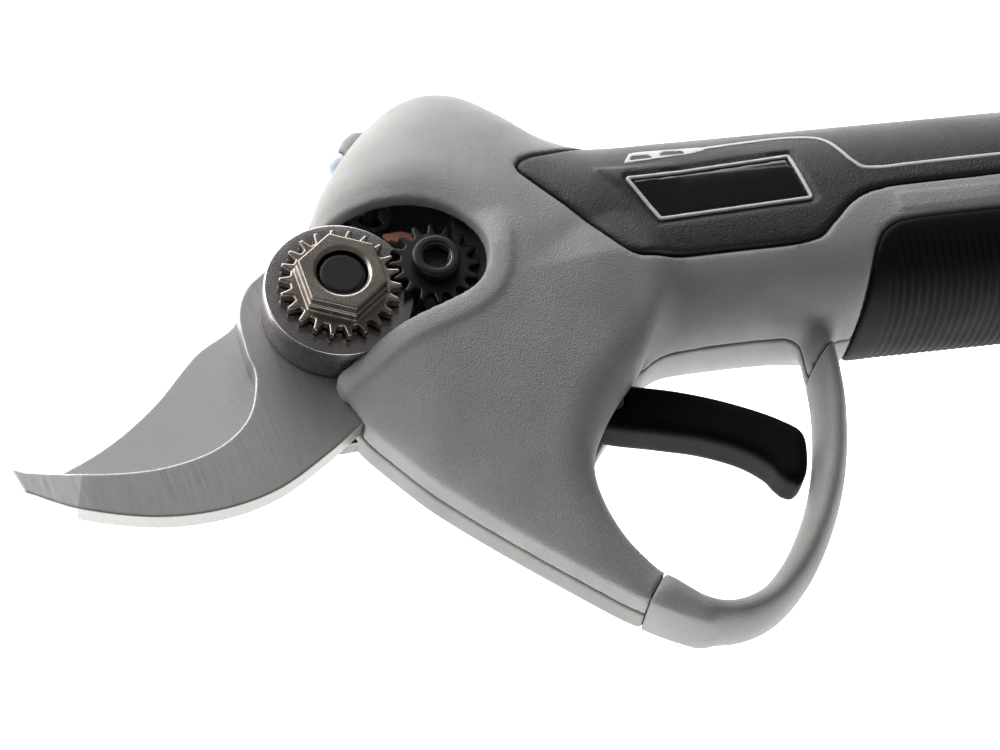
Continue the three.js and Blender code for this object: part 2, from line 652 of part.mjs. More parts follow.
function batteryCase() {
  const { front, back, halfHeight, wall, capLength } = BATTERY;
  const shell = roundedBox(halfHeight, REST_HALF, 7, front, back - capLength - GAP);
  const spigot = block([SPIGOT.front, front + 1],
    [HANDLE.centre - SPIGOT.halfHeight, HANDLE.centre + SPIGOT.halfHeight],
    [-SPIGOT.halfWidth, SPIGOT.halfWidth]);
  const room = roundedBox(halfHeight - wall, REST_HALF - wall, 5, front + wall, back);
  const slots = [-6, 0, 6].map((z) => block([SPIGOT.front - 1, 188], [1, 14], [z - 1, z + 1]));
  return cut(join(shell, spigot), room, ...slots);
}

function batteryEndCap() {
  const { back, halfHeight, wall, capLength } = BATTERY;
  const plate = roundedBox(halfHeight, REST_HALF, 7, back - capLength, back);
  const plug = roundedBox(halfHeight - wall - GAP, REST_HALF - wall - GAP, 5, back - capLength - 1, back - 2);
  return join(plate, plug);
}

function batteryCell() {
  return join(disc(CELL.radius, 0, CELL.length, 0, 0, 18), disc(3, CELL.length, CELL.length + 1, 0, 0, 8));
}

function terminalBlock() {
  const blades = [-6, 0, 6].map((z) => block([164, 184], [3, 12], [z - 0.6, z + 0.6]));
  return join(block([158, 166], [-6, 17], [-12, 12]), ...blades);
}

// ---- Materials ----------------------------------------------------------------------------------------
const finish = (color, roughness, metalness) => () =>
  new THREE.MeshStandardMaterial({ color, roughness, metalness });
const MATERIALS = {
  greyNylon: finish(0x969793, 0.62, 0),
  blackCover: finish(0x2b2a2a, 0.66, 0),
  gripRubber: finish(0x2a2522, 0.7, 0),
  badgeGloss: finish(0x141314, 0.25, 0),
  triggerBlack: finish(0x1c1817, 0.45, 0),
  toolSteel: finish(0x9a9894, 0.38, 0.9),
  darkSteel: finish(0x6f6d6b, 0.42, 0.9),
  nickel: finish(0xa39b90, 0.32, 0.95),
  blackOxide: finish(0x26272a, 0.4, 0.8),
  copper: finish(0xb98263, 0.4, 0.9),
  castAlloy: finish(0x8e8f91, 0.5, 0.8),
  gearSteel: finish(0x7c7d80, 0.38, 0.9),
  bronze: finish(0x9c7c4a, 0.45, 0.8),
  lampClear: finish(0xdfe8f2, 0.15, 0),
  boardGreen: finish(0x1f5a3a, 0.5, 0),
  screwZinc: finish(0x84868a, 0.4, 0.9),
  batteryBlack: finish(0x222222, 0.6, 0),
  cellWrap: finish(0x3a6fa0, 0.5, 0),
  brass: finish(0xb49a52, 0.35, 0.9),
};

// ---- Assembly -----------------------------------------------------------------------------------------
const tool = new THREE.Group();
const driveLine = new THREE.Group();
driveLine.rotation.set(0, Math.PI / 2, AXIS_TILT, 'ZYX');
tool.add(driveLine);

function place(name, solid, material, parent = tool, position = [0, 0, 0]) {
  const mesh = new THREE.Mesh(geometryOf(solid), MATERIALS[material]());
  mesh.name = name;
  mesh.position.set(...position);
  parent.add(mesh);
  return mesh;
}

place('counter_blade', counterBlade(), 'darkSteel');
place('cutting_blade', cuttingBlade(), 'toolSteel');
place('blade_gear', bladeGear(), 'gearSteel');
place('pivot_bolt', pivotBolt(), 'blackOxide');
place('pivot_bush', ring(PIVOT.bush, PIVOT.bore, -12.7, 5, 32), 'bronze');
place('thrust_washer', ring(16, PIVOT.eye, -12.7, -10.3, 40), 'bronze');
place('pivot_collar', ring(COLLAR.radius, PIVOT.bore, COLLAR.bottom, COLLAR.top, 44), 'darkSteel');
place('pivot_nut', pivotNut(), 'nickel');
place('lock_pinion', lockPinion(), 'blackOxide', tool, [LOCK.x, LOCK.y, 0]);
place('lock_screw', lockScrew(), 'blackOxide', tool, [LOCK.x, LOCK.y, 0]);
place('lock_leaf', prism([[12, 14.6], [16, 14.9], [19.5, 13.2], [17, 11.9], [13, 13.2]], 9, 10), 'copper');
BLADE_SCREWS.forEach(([x, y], i) =>
  place(`counter_blade_screw_${i + 1}`, counterBladeScrew(), 'screwZinc', tool, [x, y, 0]));
place('gear_case', gearCase(), 'castAlloy');

place('bevel_pinion', bevelPinion(), 'gearSteel', driveLine);
place('pinion_bearing', pinionBearing(), 'nickel', driveLine);
place('planet_carrier', planetCarrier(), 'gearSteel', driveLine);
planetAngles().forEach((angle, i) => {
  const centre = [planetOrbit * Math.cos(angle), planetOrbit * Math.sin(angle), 0];
  place(`planet_${i + 1}`, planetGear(angle), 'gearSteel', driveLine, centre);
});
place('sun_gear', sunGear(), 'brass', driveLine);
place('gearbox_housing', gearboxHousing(), 'castAlloy', driveLine);
place('motor_can', motorCan(), 'nickel', driveLine);
place('motor_stator', motorStator(), 'darkSteel', driveLine);
place('motor_rotor', motorRotor(), 'gearSteel', driveLine);
place('motor_cap', motorCap(), 'batteryBlack', driveLine);

place('housing_left', housingLeft(), 'greyNylon');
place('housing_right', housingRight(), 'greyNylon');
place('trigger_guard', triggerGuard(), 'greyNylon');
place('top_cover', topCover(), 'blackCover');
place('grip_sleeve', panel(GRIP_EDGE, SKIN), 'gripRubber');
place('badge_left', badge(1), 'badgeGloss');
place('badge_right', badge(-1), 'badgeGloss');
place('led_holder', ledHolder(), 'greyNylon');
place('led_lens', block([3.4, 8.6], [37, 41.4], [-3.6, 3.6]), 'lampClear');
SCREWS.forEach(([x, y], i) => place(`housing_screw_${i + 1}`, housingScrew(), 'screwZinc', tool, [x, y, 0]));

place('trigger', trigger(), 'triggerBlack');
place('trigger_pin', disc(1.5, -9, 9, 0, 0, 16), 'screwZinc', tool, [TRIGGER_PIN.x, TRIGGER_PIN.y, 0]);
place('trigger_spring', triggerSpring(), 'screwZinc');
place('trigger_magnet', disc(2.1, 1.3, 4.8, 53, -27, 16), 'nickel');
place('control_board', controlBoard(), 'boardGreen');
place('power_button', powerButton(), 'triggerBlack');
place('release_button', releaseButton(), 'triggerBlack');
place('release_spring', releaseSpring(), 'screwZinc');

place('terminal_block', terminalBlock(), 'batteryBlack');
place('battery_case', batteryCase(), 'batteryBlack');
place('battery_end_cap', batteryEndCap(), 'batteryBlack');
for (let i = 0; i < 6; i += 1) {
  const y = HANDLE.centre + ((i % 3) - 1) * CELL.pitch;
  const z = (i < 3 ? 0.5 : -0.5) * CELL.pitch;
  const cell = place(`battery_cell_${i + 1}`, batteryCell(), 'cellWrap', tool, [BATTERY.front + 3.2, y, z]);
  cell.rotation.y = Math.PI / 2;
}

// The row frame: origin under the middle of the whole object, which lies on its plain side.
const box = new THREE.Box3().setFromObject(tool);
const middle = box.getCenter(new THREE.Vector3());
tool.position.set(-middle.x, -middle.y, REST_HALF);
const group = new THREE.Group();
group.add(tool);

export default group;
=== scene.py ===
"""Battery electric pruner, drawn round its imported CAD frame.

Shapes are worked out in the tool's own millimetres: the pivot bolt is the Z axis, the handle runs along +X,
the back of the tool is +Y and z = 0 is the parting plane. Each moulded piece is a distance field cut out of
the same body surface, turned into a fine mesh and moved into the row frame.
"""

import json
import math

import bpy
import numpy as np
from mathutils import Matrix, Vector


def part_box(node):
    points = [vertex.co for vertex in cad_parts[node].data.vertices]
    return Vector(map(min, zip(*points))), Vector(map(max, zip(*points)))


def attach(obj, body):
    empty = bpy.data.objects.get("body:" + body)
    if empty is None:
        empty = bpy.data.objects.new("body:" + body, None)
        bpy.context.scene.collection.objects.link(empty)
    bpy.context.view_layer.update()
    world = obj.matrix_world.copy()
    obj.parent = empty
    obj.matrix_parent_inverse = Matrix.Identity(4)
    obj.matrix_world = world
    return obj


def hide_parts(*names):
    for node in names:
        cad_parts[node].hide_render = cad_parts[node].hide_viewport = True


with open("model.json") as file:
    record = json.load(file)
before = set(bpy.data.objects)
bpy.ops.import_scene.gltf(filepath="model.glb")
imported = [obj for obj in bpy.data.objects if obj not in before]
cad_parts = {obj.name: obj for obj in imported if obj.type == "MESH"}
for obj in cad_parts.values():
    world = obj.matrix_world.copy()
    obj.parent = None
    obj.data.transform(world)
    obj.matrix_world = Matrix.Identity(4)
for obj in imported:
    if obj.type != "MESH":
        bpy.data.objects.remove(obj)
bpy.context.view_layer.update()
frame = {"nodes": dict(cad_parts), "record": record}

# ---- Driving dimensions, in millimetres ---------------------------------------------------------------
MM = 0.001
REST_HALF = 24.5  # half thickness of the tool, which lies on its plain side
WALL = 3.4
SKIN = 1.5
GROOVE = 0.35  # groove between an overmoulded panel and the housing
SPLIT = 0.12
HEAD_FRONT = -5.0
LIMB_END = 63.0
HANDLE_END = 195.0
HANDLE_CENTRE = 7.4
HANDLE_HEIGHT = 23.5
HANDLE_WIDTH = 21.5
HANDLE_POWER = 2.7
KEEL = 6.0
DRAIN = (6.4, -36.8)
GUARD_HALF_WIDTH = 3.3
GUARD_HALF_DEPTH = 7.6
COVER_END = 168.0
COLLAR_RADIUS = 15.4
NUT_FLATS = 16.0
NUT_TURN = math.radians(-22)
LOCK_CENTRE = (19.82, 2.29)
PIVOT_EYE = 7.3  # radius of the hole through both blades
HOOK_THICKNESS = 5.0
GEAR_SWEEP = 25.9  # radius that the blade's gear needs inside the far shell
TRIGGER_PIN = (46.0, -24.0)
VIEW_LEAN = math.radians(31.5)  # the pivot's axis, away from the line of sight
VIEW_TURN = math.radians(14.2)  # which way it leans in the picture, to the right of straight up
HANDLE_RISE = math.radians(6.0)  # slope of the handle in the picture
VIEW_DISTANCE = 750.0
VIEW_AIM = (31.44, -20.9, 21.4)  # the picture's middle: right and up from a point this high on the pivot's axis
LAMP = (7.8, 38.6)
RIB_PITCH = 1.7
SCREWS = ((13, 27), (38, 37), (12, -29), (44, -62), (124, 22.5), (124, -8))
SCREW_WELL = 3.3
POWER_BUTTON_X = 158.0
BATTERY_FRONT = 196.0
BATTERY_END = 270.0

BODY_TOP = [(-5, 16), (-2, 22.5), (2, 29.5), (8, 37.8), (14, 44), (20, 48.5), (27, 50.6), (34, 49),
            (41, 43.4), (48, 36.4), (55, 32.2), (62, 31.0), (72, 30.9)]
BODY_MIDDLE = [(-5, -1), (20, 3), (50, 6.5), (62, 7.4), (72, HANDLE_CENTRE)]
BODY_WIDTH = [(-5, 11.5), (0, 16), (6, 20), (14, 23), (24, 24.2), (38, 24.2), (50, 23), (62, 21.6),
              (72, HANDLE_WIDTH)]
BODY_POWER = [(-5, 2.3), (45, 2.3), (62, 2.65), (72, HANDLE_POWER)]
LIMB_BOTTOM = [(-5, -21), (2, -28.5), (15, -43.6), (45, -69.7), (54, -75.9), (62, -79.6)]
LIMB_POWER = 1.35
BELLY_BOTTOM = [(28, -4), (40, -11.6), (52, -15.2), (64, HANDLE_CENTRE - HANDLE_HEIGHT)]
BELLY_WIDTH = [(28, 11), (40, 17.5), (50, 21.6), (56, 22.2), (62, 21.6), (72, HANDLE_WIDTH)]

OPENING = [(61, -73.2), (55, -67.6), (49, -59.8), (45.4, -50.5), (45, -43), (48.5, -35.6), (54, -28.4),
           (60, -23), (67, -19.2), (76, -17.2)]
OPENING_BACK = [(95.6, -20), (95.6, -27), (94.3, -36), (92, -45), (88.8, -53), (84.2, -60.9), (79, -67.4),
                (73.6, -71.6), (67.5, -73.6)]
WINDOW = [(-12, 18.4), (4, 18.6), (16, 16.8), (24, 13), (29.1, 7), (30.0, 0.8), (27.5, -5.2), (22, -8.5),
          (10, -11.8), (2, -15), (-12, -20)]
COVER_FRONT = [(68, 36), (59, 29.2), (50, 25.2), (42.2, 22.4), (39.8, 20.4), (40.2, 18.2), (44, 13.8),
               (50.4, 6.8), (56.4, -0.4), (58.8, -2.8)]
COVER_LOW = [(61, -3.6), (80, -3.4), (97.5, -2.8), (103, 0.6), (108, 5), (114, 7.4), (126, 8.2),
             (COVER_END, 8.6)]
GRIP_FRONT = [(107, -18), (108.7, -13), (111.4, -5.6), (114.3, -1.9), (119, -0.4), (130, 0)]
BADGE_PAD = [(56.1, 18.3), (63.6, 8), (76, 8), (76, 19.2)]
BADGE = [(62.6, 14.9), (67.4, 5.4), (99.4, 7), (97.2, 17.3)]
DECOR_LINE = [(79, 22.3), (84, 22.8), (97.0, 23.6), (104.0, 22.8), (107.0, 20.8),
              (108.9, 17.7), (110.8, 14.5), (114.4, 12.4), (129.6, 12.6), (COVER_END, 13)]
TRIM_SLAB = [(62.5, 19.8), (77.4, 20.9), (80.5, 21.6), (80.5, 23.0), (66.5, 23.6), (64.6, 23.2)]
TRIM_HOLES = [
    [(64.3, 20.9), (69.1, 21.0), (68.4, 21.9), (65.2, 22.1)],
    [(70.8, 21.4), (71.8, 22.4), (75.7, 22.3), (76.1, 21.4)],
]
GUARD = [(55, -71.6), (61.4, -75.9), (68, -77.2), (75, -75.2), (81.4, -69.9), (87, -62.6), (91.8, -54),
         (95.3, -45), (97.6, -36), (98.9, -27), (99.4, -12)]

BLADE_EDGE = [(-65, -31.6), (-56, -35.6), (-44, -38), (-32, -37.8), (-20, -34)]
# A point on the edge of the hook's tip facet, which the hook's steel paints lighter as a painted highlight, and
# the direction across that edge.
TIP_PAINTED_HIGHLIGHT = ((-56, -31), (-0.97, 0.24))

pivot_low, pivot_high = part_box("pivot_collar")
PIVOT = Vector(((pivot_low.x + pivot_high.x) / 2, (pivot_low.y + pivot_high.y) / 2, REST_HALF * MM))


def in_row(points):
    """Points in tool millimetres, moved into the row frame in metres."""
    return np.asarray(points, float) * MM + np.array(PIVOT)


# ---- Curves -------------------------------------------------------------------------------------------
def through(stations, x):
    """A smooth function through a few (x, value) stations."""
    xs, ys = (np.array(column, float) for column in zip(*stations))
    slopes = np.gradient(ys, xs)
    slopes[1:-1] = (ys[2:] - ys[:-2]) / (xs[2:] - xs[:-2])
    x = np.clip(x, xs[0], xs[-1])
    i = np.clip(np.searchsorted(xs, x, side="right") - 1, 0, len(xs) - 2)
    width = xs[i + 1] - xs[i]
    t = (x - xs[i]) / width
    rise, fall = slopes[i] * width, slopes[i + 1] * width
    start = (2 * t**3 - 3 * t**2 + 1) * ys[i] + (t**3 - 2 * t**2 + t) * rise
    return start + (3 * t**2 - 2 * t**3) * ys[i + 1] + (t**3 - t**2) * fall


def smooth_line(points, per_span=8):
    """A Catmull-Rom curve through points, as an array of points."""
    p = np.array(points, float)
    p = np.vstack([2 * p[0] - p[1], p, 2 * p[-1] - p[-2]])
    t = np.linspace(0, 1, per_span, endpoint=False)[:, None]
    spans = []
    for a, b, c, d in zip(p[:-3], p[1:-2], p[2:-1], p[3:]):
        spans.append(0.5 * (2 * b + (c - a) * t + (2 * a - 5 * b + 4 * c - d) * t**2
                            + (3 * b - a - 3 * c + d) * t**3))
    return np.vstack(spans + [p[-2][None]])


# ---- Distance fields on a grid ------------------------------------------------------------------------
class Grid:
    """A box of sample points, with x, y and z ready to broadcast."""

    def __init__(self, low, high, step):
        self.low = np.array(low, float)
        self.step = np.broadcast_to(np.array(step, float), 3)
        counts = np.ceil((np.array(high, float) - self.low) / self.step).astype(int) + 1
        axes = [self.low[i] + self.step[i] * np.arange(counts[i]) for i in range(3)]
        self.x = axes[0][:, None, None]
        self.y = axes[1][None, :, None]
        self.z = axes[2][None, None, :]
        self.flat_x = np.broadcast_to(axes[0][:, None], counts[:2])
        self.flat_y = np.broadcast_to(axes[1][None, :], counts[:2])

    def outline(self, points):
        """Signed distance to a closed outline in the XY plane, negative inside."""
        return polygon_distance(points, self.flat_x, self.flat_y)[:, :, None]

    def path(self, points):
        """Distance to an open path in the XY plane."""
        return segment_distance(points[:-1], points[1:], self.flat_x, self.flat_y)[:, :, None]

    def true_distance(self, field):
        """A field scaled so that it grows by one per millimetre near its surface."""
        slope = np.sqrt(sum(g * g for g in np.gradient(field, *self.step)))
        return field / np.maximum(slope, 0.35)


def segment_distance(starts, ends, x, y):
    best = np.full(x.shape, np.inf)
    for (ax, ay), (bx, by) in zip(starts, ends):
        dx, dy = bx - ax, by - ay
        t = np.clip(((x - ax) * dx + (y - ay) * dy) / (dx * dx + dy * dy + 1e-12), 0, 1)
        best = np.minimum(best, (x - ax - t * dx) ** 2 + (y - ay - t * dy) ** 2)
    return np.sqrt(best)


def polygon_distance(points, x, y):
    points = np.asarray(points, float)
    following = np.roll(points, -1, axis=0)
    inside = np.zeros(x.shape, bool)
    for (ax, ay), (bx, by) in zip(points, following):
        if ay != by:
            crosses = (ay > y) != (by > y)
            inside ^= crosses & (x < ax + (y - ay) * (bx - ax) / (by - ay))
    distance = segment_distance(points, following, x, y)
    return np.where(inside, -distance, distance)


def blend_in(a, b, radius):
    """Intersection of two fields with a rounded edge."""
    h = np.maximum(radius - np.abs(a - b), 0) / radius
    return np.maximum(a, b) + h * h * radius / 4


def blend_out(a, b, radius):
    """Union of two fields with a filleted joint."""
    return -blend_in(-a, -b, radius)


def surface_net(field, grid):
    """Vertices and quads of the surface where the field changes sign."""
    shape = np.array(field.shape)
    inside = field < 0
    quads, crossings = [], []
    for axis in range(3):
        near = [slice(None)] * 3
        far = [slice(None)] * 3
        near[axis] = slice(None, -1)
        far[axis] = slice(1, None)
        index = np.argwhere(inside[tuple(near)] != inside[tuple(far)])
        b, c = (axis + 1) % 3, (axis + 2) % 3
        for side in (b, c):
            index = index[(index[:, side] > 0) & (index[:, side] < shape[side] - 1)]
        beyond = index.copy()
        beyond[:, axis] += 1
        first = field[tuple(index.T)]
        second = field[tuple(beyond.T)]
        point = index.astype(float)
        point[:, axis] += first / (first - second)
        corners = []
        for shift_b, shift_c in ((0, 0), (-1, 0), (-1, -1), (0, -1)):
            cell = index.copy()
            cell[:, b] += shift_b
            cell[:, c] += shift_c
            corners.append(np.ravel_multi_index(cell.T, shape))
        quad = np.stack(corners, 1)
        outward = first < 0
        quads.append(np.where(outward[:, None], quad, quad[:, ::-1]))
        crossings.append(point)
    quads = np.vstack(quads)
    crossings = np.vstack(crossings)
    quads_flat = np.unique(quads, return_inverse=True)[1].ravel()
    count = np.bincount(quads_flat)
    vertices = np.stack([np.bincount(quads_flat, np.repeat(crossings[:, i], 4)) / count for i in range(3)], 1)
    vertices = settle(vertices, field)
    return vertices * grid.step + grid.low, quads_flat.reshape(-1, 4)


def sample(field, points):
    """Trilinear sample of a field and its gradient, in grid units."""
    base = np.clip(points.astype(int), 0, np.array(field.shape) - 2)
    t = points - base
    value = np.zeros(len(points))
    gradient = np.zeros((len(points), 3))
    for corner in np.ndindex(2, 2, 2):
        weight = np.where(corner, t, 1 - t)
        at = field[tuple((base + corner).T)]
        value += at * weight.prod(1)
        for i in range(3):
            others = weight[:, [j for j in range(3) if j != i]].prod(1)
            gradient[:, i] += at * others * (1 if corner[i] else -1)
    return value, gradient


def settle(points, field, rounds=2):
    """Moves points onto the field's zero surface, by at most half a cell."""
    start = points.copy()
    for _ in range(rounds):
        value, gradient = sample(field, points)
        size = np.maximum((gradient**2).sum(1), 1e-6)
        points = points - 0.8 * (value / size)[:, None] * gradient
        points = np.clip(points, start - 0.5, start + 0.5)
    return points


# ---- Pieces -------------------------------------------------------------------------------------------
def piece_from(name, vertices, faces, material, body, replaces=()):
    """A mesh piece from tool-millimetre vertices, riding on a body and standing for CAD nodes."""
    mesh = bpy.data.meshes.new(name)
    points = in_row(vertices)
    faces = np.asarray(faces)
    mesh.vertices.add(len(points))
    mesh.vertices.foreach_set("co", points.astype(np.float32).ravel())
    mesh.loops.add(faces.size)
    mesh.loops.foreach_set("vertex_index", faces.ravel().astype(np.int32))
    mesh.polygons.add(len(faces))
    sides = faces.shape[1]
    mesh.polygons.foreach_set("loop_start", np.arange(0, faces.size, sides, dtype=np.int32))
    mesh.polygons.foreach_set("use_smooth", np.ones(len(faces), bool))
    mesh.update(calc_edges=True)
    mesh.validate()
    piece = bpy.data.objects.new(name, mesh)
    bpy.context.scene.collection.objects.link(piece)
    mesh.materials.append(material)
    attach(piece, body)
    if replaces:
        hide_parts(*replaces)
    return piece


def moulded(name, grid, field, material, body, replaces=()):
    vertices, quads = surface_net(field.astype(np.float64), grid)
    return piece_from(name, vertices, quads, material, body, replaces)


# ---- Body surface -------------------------------------------------------------------------------------
def superellipse(rise, out, width, power):
    """Section through the body: the surface is where the power sum of rise and out is one."""
    return ((rise**power + np.maximum(out, 0) ** power) ** (1 / power) - 1) * width


def stations(grid, *tables):
    """Each table's value at every x of the grid, ready to broadcast."""
    return [through(table, grid.x[:, 0, 0])[:, None, None] for table in tables]


def handle_field(grid):
    """The handle alone, which runs on under the head as its belly."""
    bottom, width, middle = stations(grid, BELLY_BOTTOM, BELLY_WIDTH, BODY_MIDDLE)
    drop = np.abs(middle - grid.y) / (middle - bottom)
    return grid.true_distance(superellipse(drop, np.abs(grid.z) / width, width, HANDLE_POWER))


def limb_field(grid):
    """The front limb under the head: it narrows downward to a flat keel."""
    bottom, middle, width = stations(grid, LIMB_BOTTOM, BODY_MIDDLE, BODY_WIDTH)
    drop = np.maximum(middle - grid.y, 0) / (middle - bottom)
    out = (np.abs(grid.z) - KEEL) / (width - KEEL)
    limb = grid.true_distance(superellipse(drop, out, width - KEEL, LIMB_POWER))
    return blend_in(limb, grid.x - LIMB_END, 4.0)


def guard_tube(grid):
    """The guard that runs from the limb's end up to the handle."""
    across = grid.path(smooth_line(GUARD, 10)) / GUARD_HALF_WIDTH
    return grid.true_distance(superellipse(across, np.abs(grid.z) / GUARD_HALF_DEPTH, GUARD_HALF_WIDTH, 2.1))


def opening_outline():
    return np.vstack([smooth_line(OPENING), [(86, -16.6), (92, -17)], smooth_line(OPENING_BACK)])


def body_field(grid):
    """The whole outer skin: head, handle, limb and guard, with the finger opening taken out."""
    top, middle, width, power = stations(grid, BODY_TOP, BODY_MIDDLE, BODY_WIDTH, BODY_POWER)
    rise = np.maximum(grid.y - middle, 0) / (top - middle)
    upper = grid.true_distance(superellipse(rise, np.abs(grid.z) / width, width, power))
    below = np.clip((middle - grid.y) / 10, 0, 1)
    lower = blend_out(limb_field(grid), handle_field(grid), 0.01 + 9 * below)
    skin = np.where(grid.y >= middle, upper, lower)
    skin = blend_in(skin, -grid.outline(opening_outline()), 9.0)
    skin = blend_out(skin, guard_tube(grid), 3.0)
    skin = blend_in(skin, HEAD_FRONT - grid.x, 1.5)
    slant = -0.909 * (grid.x + 3.2) - 0.417 * (grid.y + 17.2)
    skin = blend_in(skin, slant + 0 * grid.z, 1.2)
    return blend_in(skin, grid.x - HANDLE_END, 2.0)


def guard_region(grid):
    """Negative where the skin belongs to the guard: past the seam at each of its ends."""
    lower_seam = 0.627 * (grid.y + 67.4) - 0.78 * (grid.x - 55)
    upper_seam = (120.2 - grid.x + grid.y) / math.sqrt(2)
    near = grid.path(smooth_line(GUARD, 4)) - 9
    return np.maximum(np.maximum(lower_seam, upper_seam), np.maximum(near, 0.4 - handle_field(grid)))


def cover_outline():
    return np.vstack([smooth_line(COVER_FRONT), smooth_line(COVER_LOW), [(COVER_END, 60), (70, 60)]])


def grip_outline():
    return np.vstack([[(106.4, -40)], smooth_line(GRIP_FRONT), [(184, 0), (190, -40)]])


def grooved(shell, skin, region):
    """Takes a panel's seat out of a shell: the region, grown by the groove, down to the skin's depth."""
    seat = np.maximum(region - GROOVE, -(skin + SKIN + 0.3))
    return blend_in(shell, -seat, 0.7)


def overmould(skin, region, proud=0.0):
    """A panel that fills such a seat."""
    return blend_in(blend_in(region, skin - proud, 1.2), -(skin + SKIN), 0.4)


# ---- Materials ----------------------------------------------------------------------------------------
class Nodes:
    """A small helper for building one material's node tree."""

    def __init__(self, name):
        self.material = bpy.data.materials.new(name)
        self.material.use_nodes = True
        self.tree = self.material.node_tree
        self.shader = self.tree.nodes["Principled BSDF"]
        self.where = self.add("ShaderNodeTexCoord").outputs["Object"]

    def add(self, kind, **inputs):
        node = self.tree.nodes.new(kind)
        for name, value in inputs.items():
            self.set(node, name, value)
        return node

    def set(self, node, name, value):
        socket = node.inputs[name]
        if isinstance(value, bpy.types.NodeSocket):
            self.tree.links.new(value, socket)
        else:
            socket.default_value = value

    def noise(self, scale, detail=2.0, roughness=0.5, drawn_out=None):
        """Noise, drawn out into lines along an angle in the XY plane when one is given."""
        vector = self.where
        if drawn_out is not None:
            mapping = self.add("ShaderNodeMapping", Vector=vector)
            mapping.vector_type = "TEXTURE"
            mapping.inputs["Rotation"].default_value = (0, 0, drawn_out)
            mapping.inputs["Scale"].default_value = (30, 1, 1)
            vector = mapping.outputs["Vector"]
        noise = self.add("ShaderNodeTexNoise", Vector=vector, Scale=scale, Detail=detail, Roughness=roughness)
        return noise.outputs["Fac"]

    def past_line(self, point, direction):
        """One past a line across the tool's XY plane, zero before it."""
        across = self.tree.nodes.new("ShaderNodeVectorMath")
        across.operation = "DOT_PRODUCT"
        self.set(across, 0, self.where)
        self.set(across, 1, (*direction, 0))
        start = float(np.dot(in_row((*point, 0))[:2], direction))
        return self.ramp(across.outputs["Value"], 0.0, 1.0, start, start + 0.25 * MM)

    def ramp(self, value, low, high, start=0.0, end=1.0):
        """Maps a value from start..end to low..high."""
        node = self.add("ShaderNodeMapRange")
        self.set(node, "Value", value)
        for name, number in (("From Min", start), ("From Max", end), ("To Min", low), ("To Max", high)):
            node.inputs[name].default_value = number
        return node.outputs["Result"]

    def mix(self, factor, first, second):
        node = self.tree.nodes.new("ShaderNodeMix")
        node.data_type = "RGBA"
        for index, value in ((0, factor), (6, first), (7, second)):
            socket = node.inputs[index]
            if isinstance(value, bpy.types.NodeSocket):
                self.tree.links.new(value, socket)
            else:
                socket.default_value = value
        return node.outputs[2]

    def bump(self, height, strength, distance, below=None):
        node = self.add("ShaderNodeBump", Height=height, Strength=strength)
        node.inputs["Distance"].default_value = distance
        if below is not None:
            self.set(node, "Normal", below)
        return node.outputs["Normal"]

    def finish(self, color, roughness, normal=None, metallic=0.0, **constants):
        self.set(self.shader, "Base Color", color)
        self.set(self.shader, "Roughness", roughness)
        self.shader.inputs["Metallic"].default_value = metallic
        for name, value in constants.items():
            self.shader.inputs[name.replace("_", " ")].default_value = value
        if normal is not None:
            self.set(self.shader, "Normal", normal)
        return self.material


def linear(red, green, blue):
    """A colour given as sRGB 0..255, as linear values with alpha."""
    channels = [c / 255 for c in (red, green, blue)]
    return tuple(c / 12.92 if c <= 0.04045 else ((c + 0.055) / 1.055) ** 2.4 for c in channels) + (1.0,)


def moulded_plastic(name, color, dark, grain_mm, depth_mm, roughness, specular=0.5):
    """Moulded plastic: fine grain in relief, faint mottling, and slightly uneven gloss."""
    n = Nodes(name)
    grain = n.noise(1 / (grain_mm * MM), detail=3.0, roughness=0.6)
    mottle = n.noise(90, detail=3.0)
    speck = n.ramp(grain, 0.0, 1.0, 0.35, 0.65)
    tone = n.mix(n.ramp(mottle, 0.0, 0.55, 0.3, 0.7), color, dark)
    tone = n.mix(n.ramp(speck, 0.28, 0.0), tone, dark)
    gloss = n.ramp(mottle, roughness - 0.05, roughness + 0.05, 0.3, 0.7)
    return n.finish(tone, gloss, n.bump(grain, 1.0, depth_mm * MM), Specular_IOR_Level=specular)


def ground_steel(name, color, dark, roughness, line_mm, angle, depth_mm, metallic, painted_highlight_past=None):
    """Steel with grind lines, drawn out along one direction, and with a painted highlight (a lighter tone) past
    a line where one is given.
    """
    n = Nodes(name)
    lines = n.noise(1 / (line_mm * MM), detail=4.0, roughness=0.7, drawn_out=math.radians(angle))
    broad = n.noise(120, detail=2.0)
    tone = n.mix(n.ramp(lines, 0.0, 1.0, 0.3, 0.7), color, dark)
    # Painted highlight: past the line the steel takes a lighter tone, standing in for the light that the hook's
    # tip facet catches.
    if painted_highlight_past is not None:
        tone = n.mix(n.past_line(*painted_highlight_past), tone, linear(188, 188, 186))
    gloss = n.ramp(lines, roughness - 0.08, roughness + 0.1, 0.3, 0.7)
    below = n.bump(broad, 0.2, 0.02 * MM)
    return n.finish(tone, gloss, n.bump(lines, 0.6, depth_mm * MM, below), metallic=metallic)


def blasted_metal(name, color, dark, roughness, grain_mm, depth_mm, metallic=1.0):
    n = Nodes(name)
    grain = n.noise(1 / (grain_mm * MM), detail=3.0)
    stain = n.noise(160, detail=3.0)
    tone = n.mix(n.ramp(stain, 0.0, 1.0, 0.35, 0.7), color, dark)
    gloss = n.ramp(grain, roughness - 0.06, roughness + 0.08, 0.3, 0.7)
    return n.finish(tone, gloss, n.bump(grain, 0.7, depth_mm * MM), metallic=metallic)


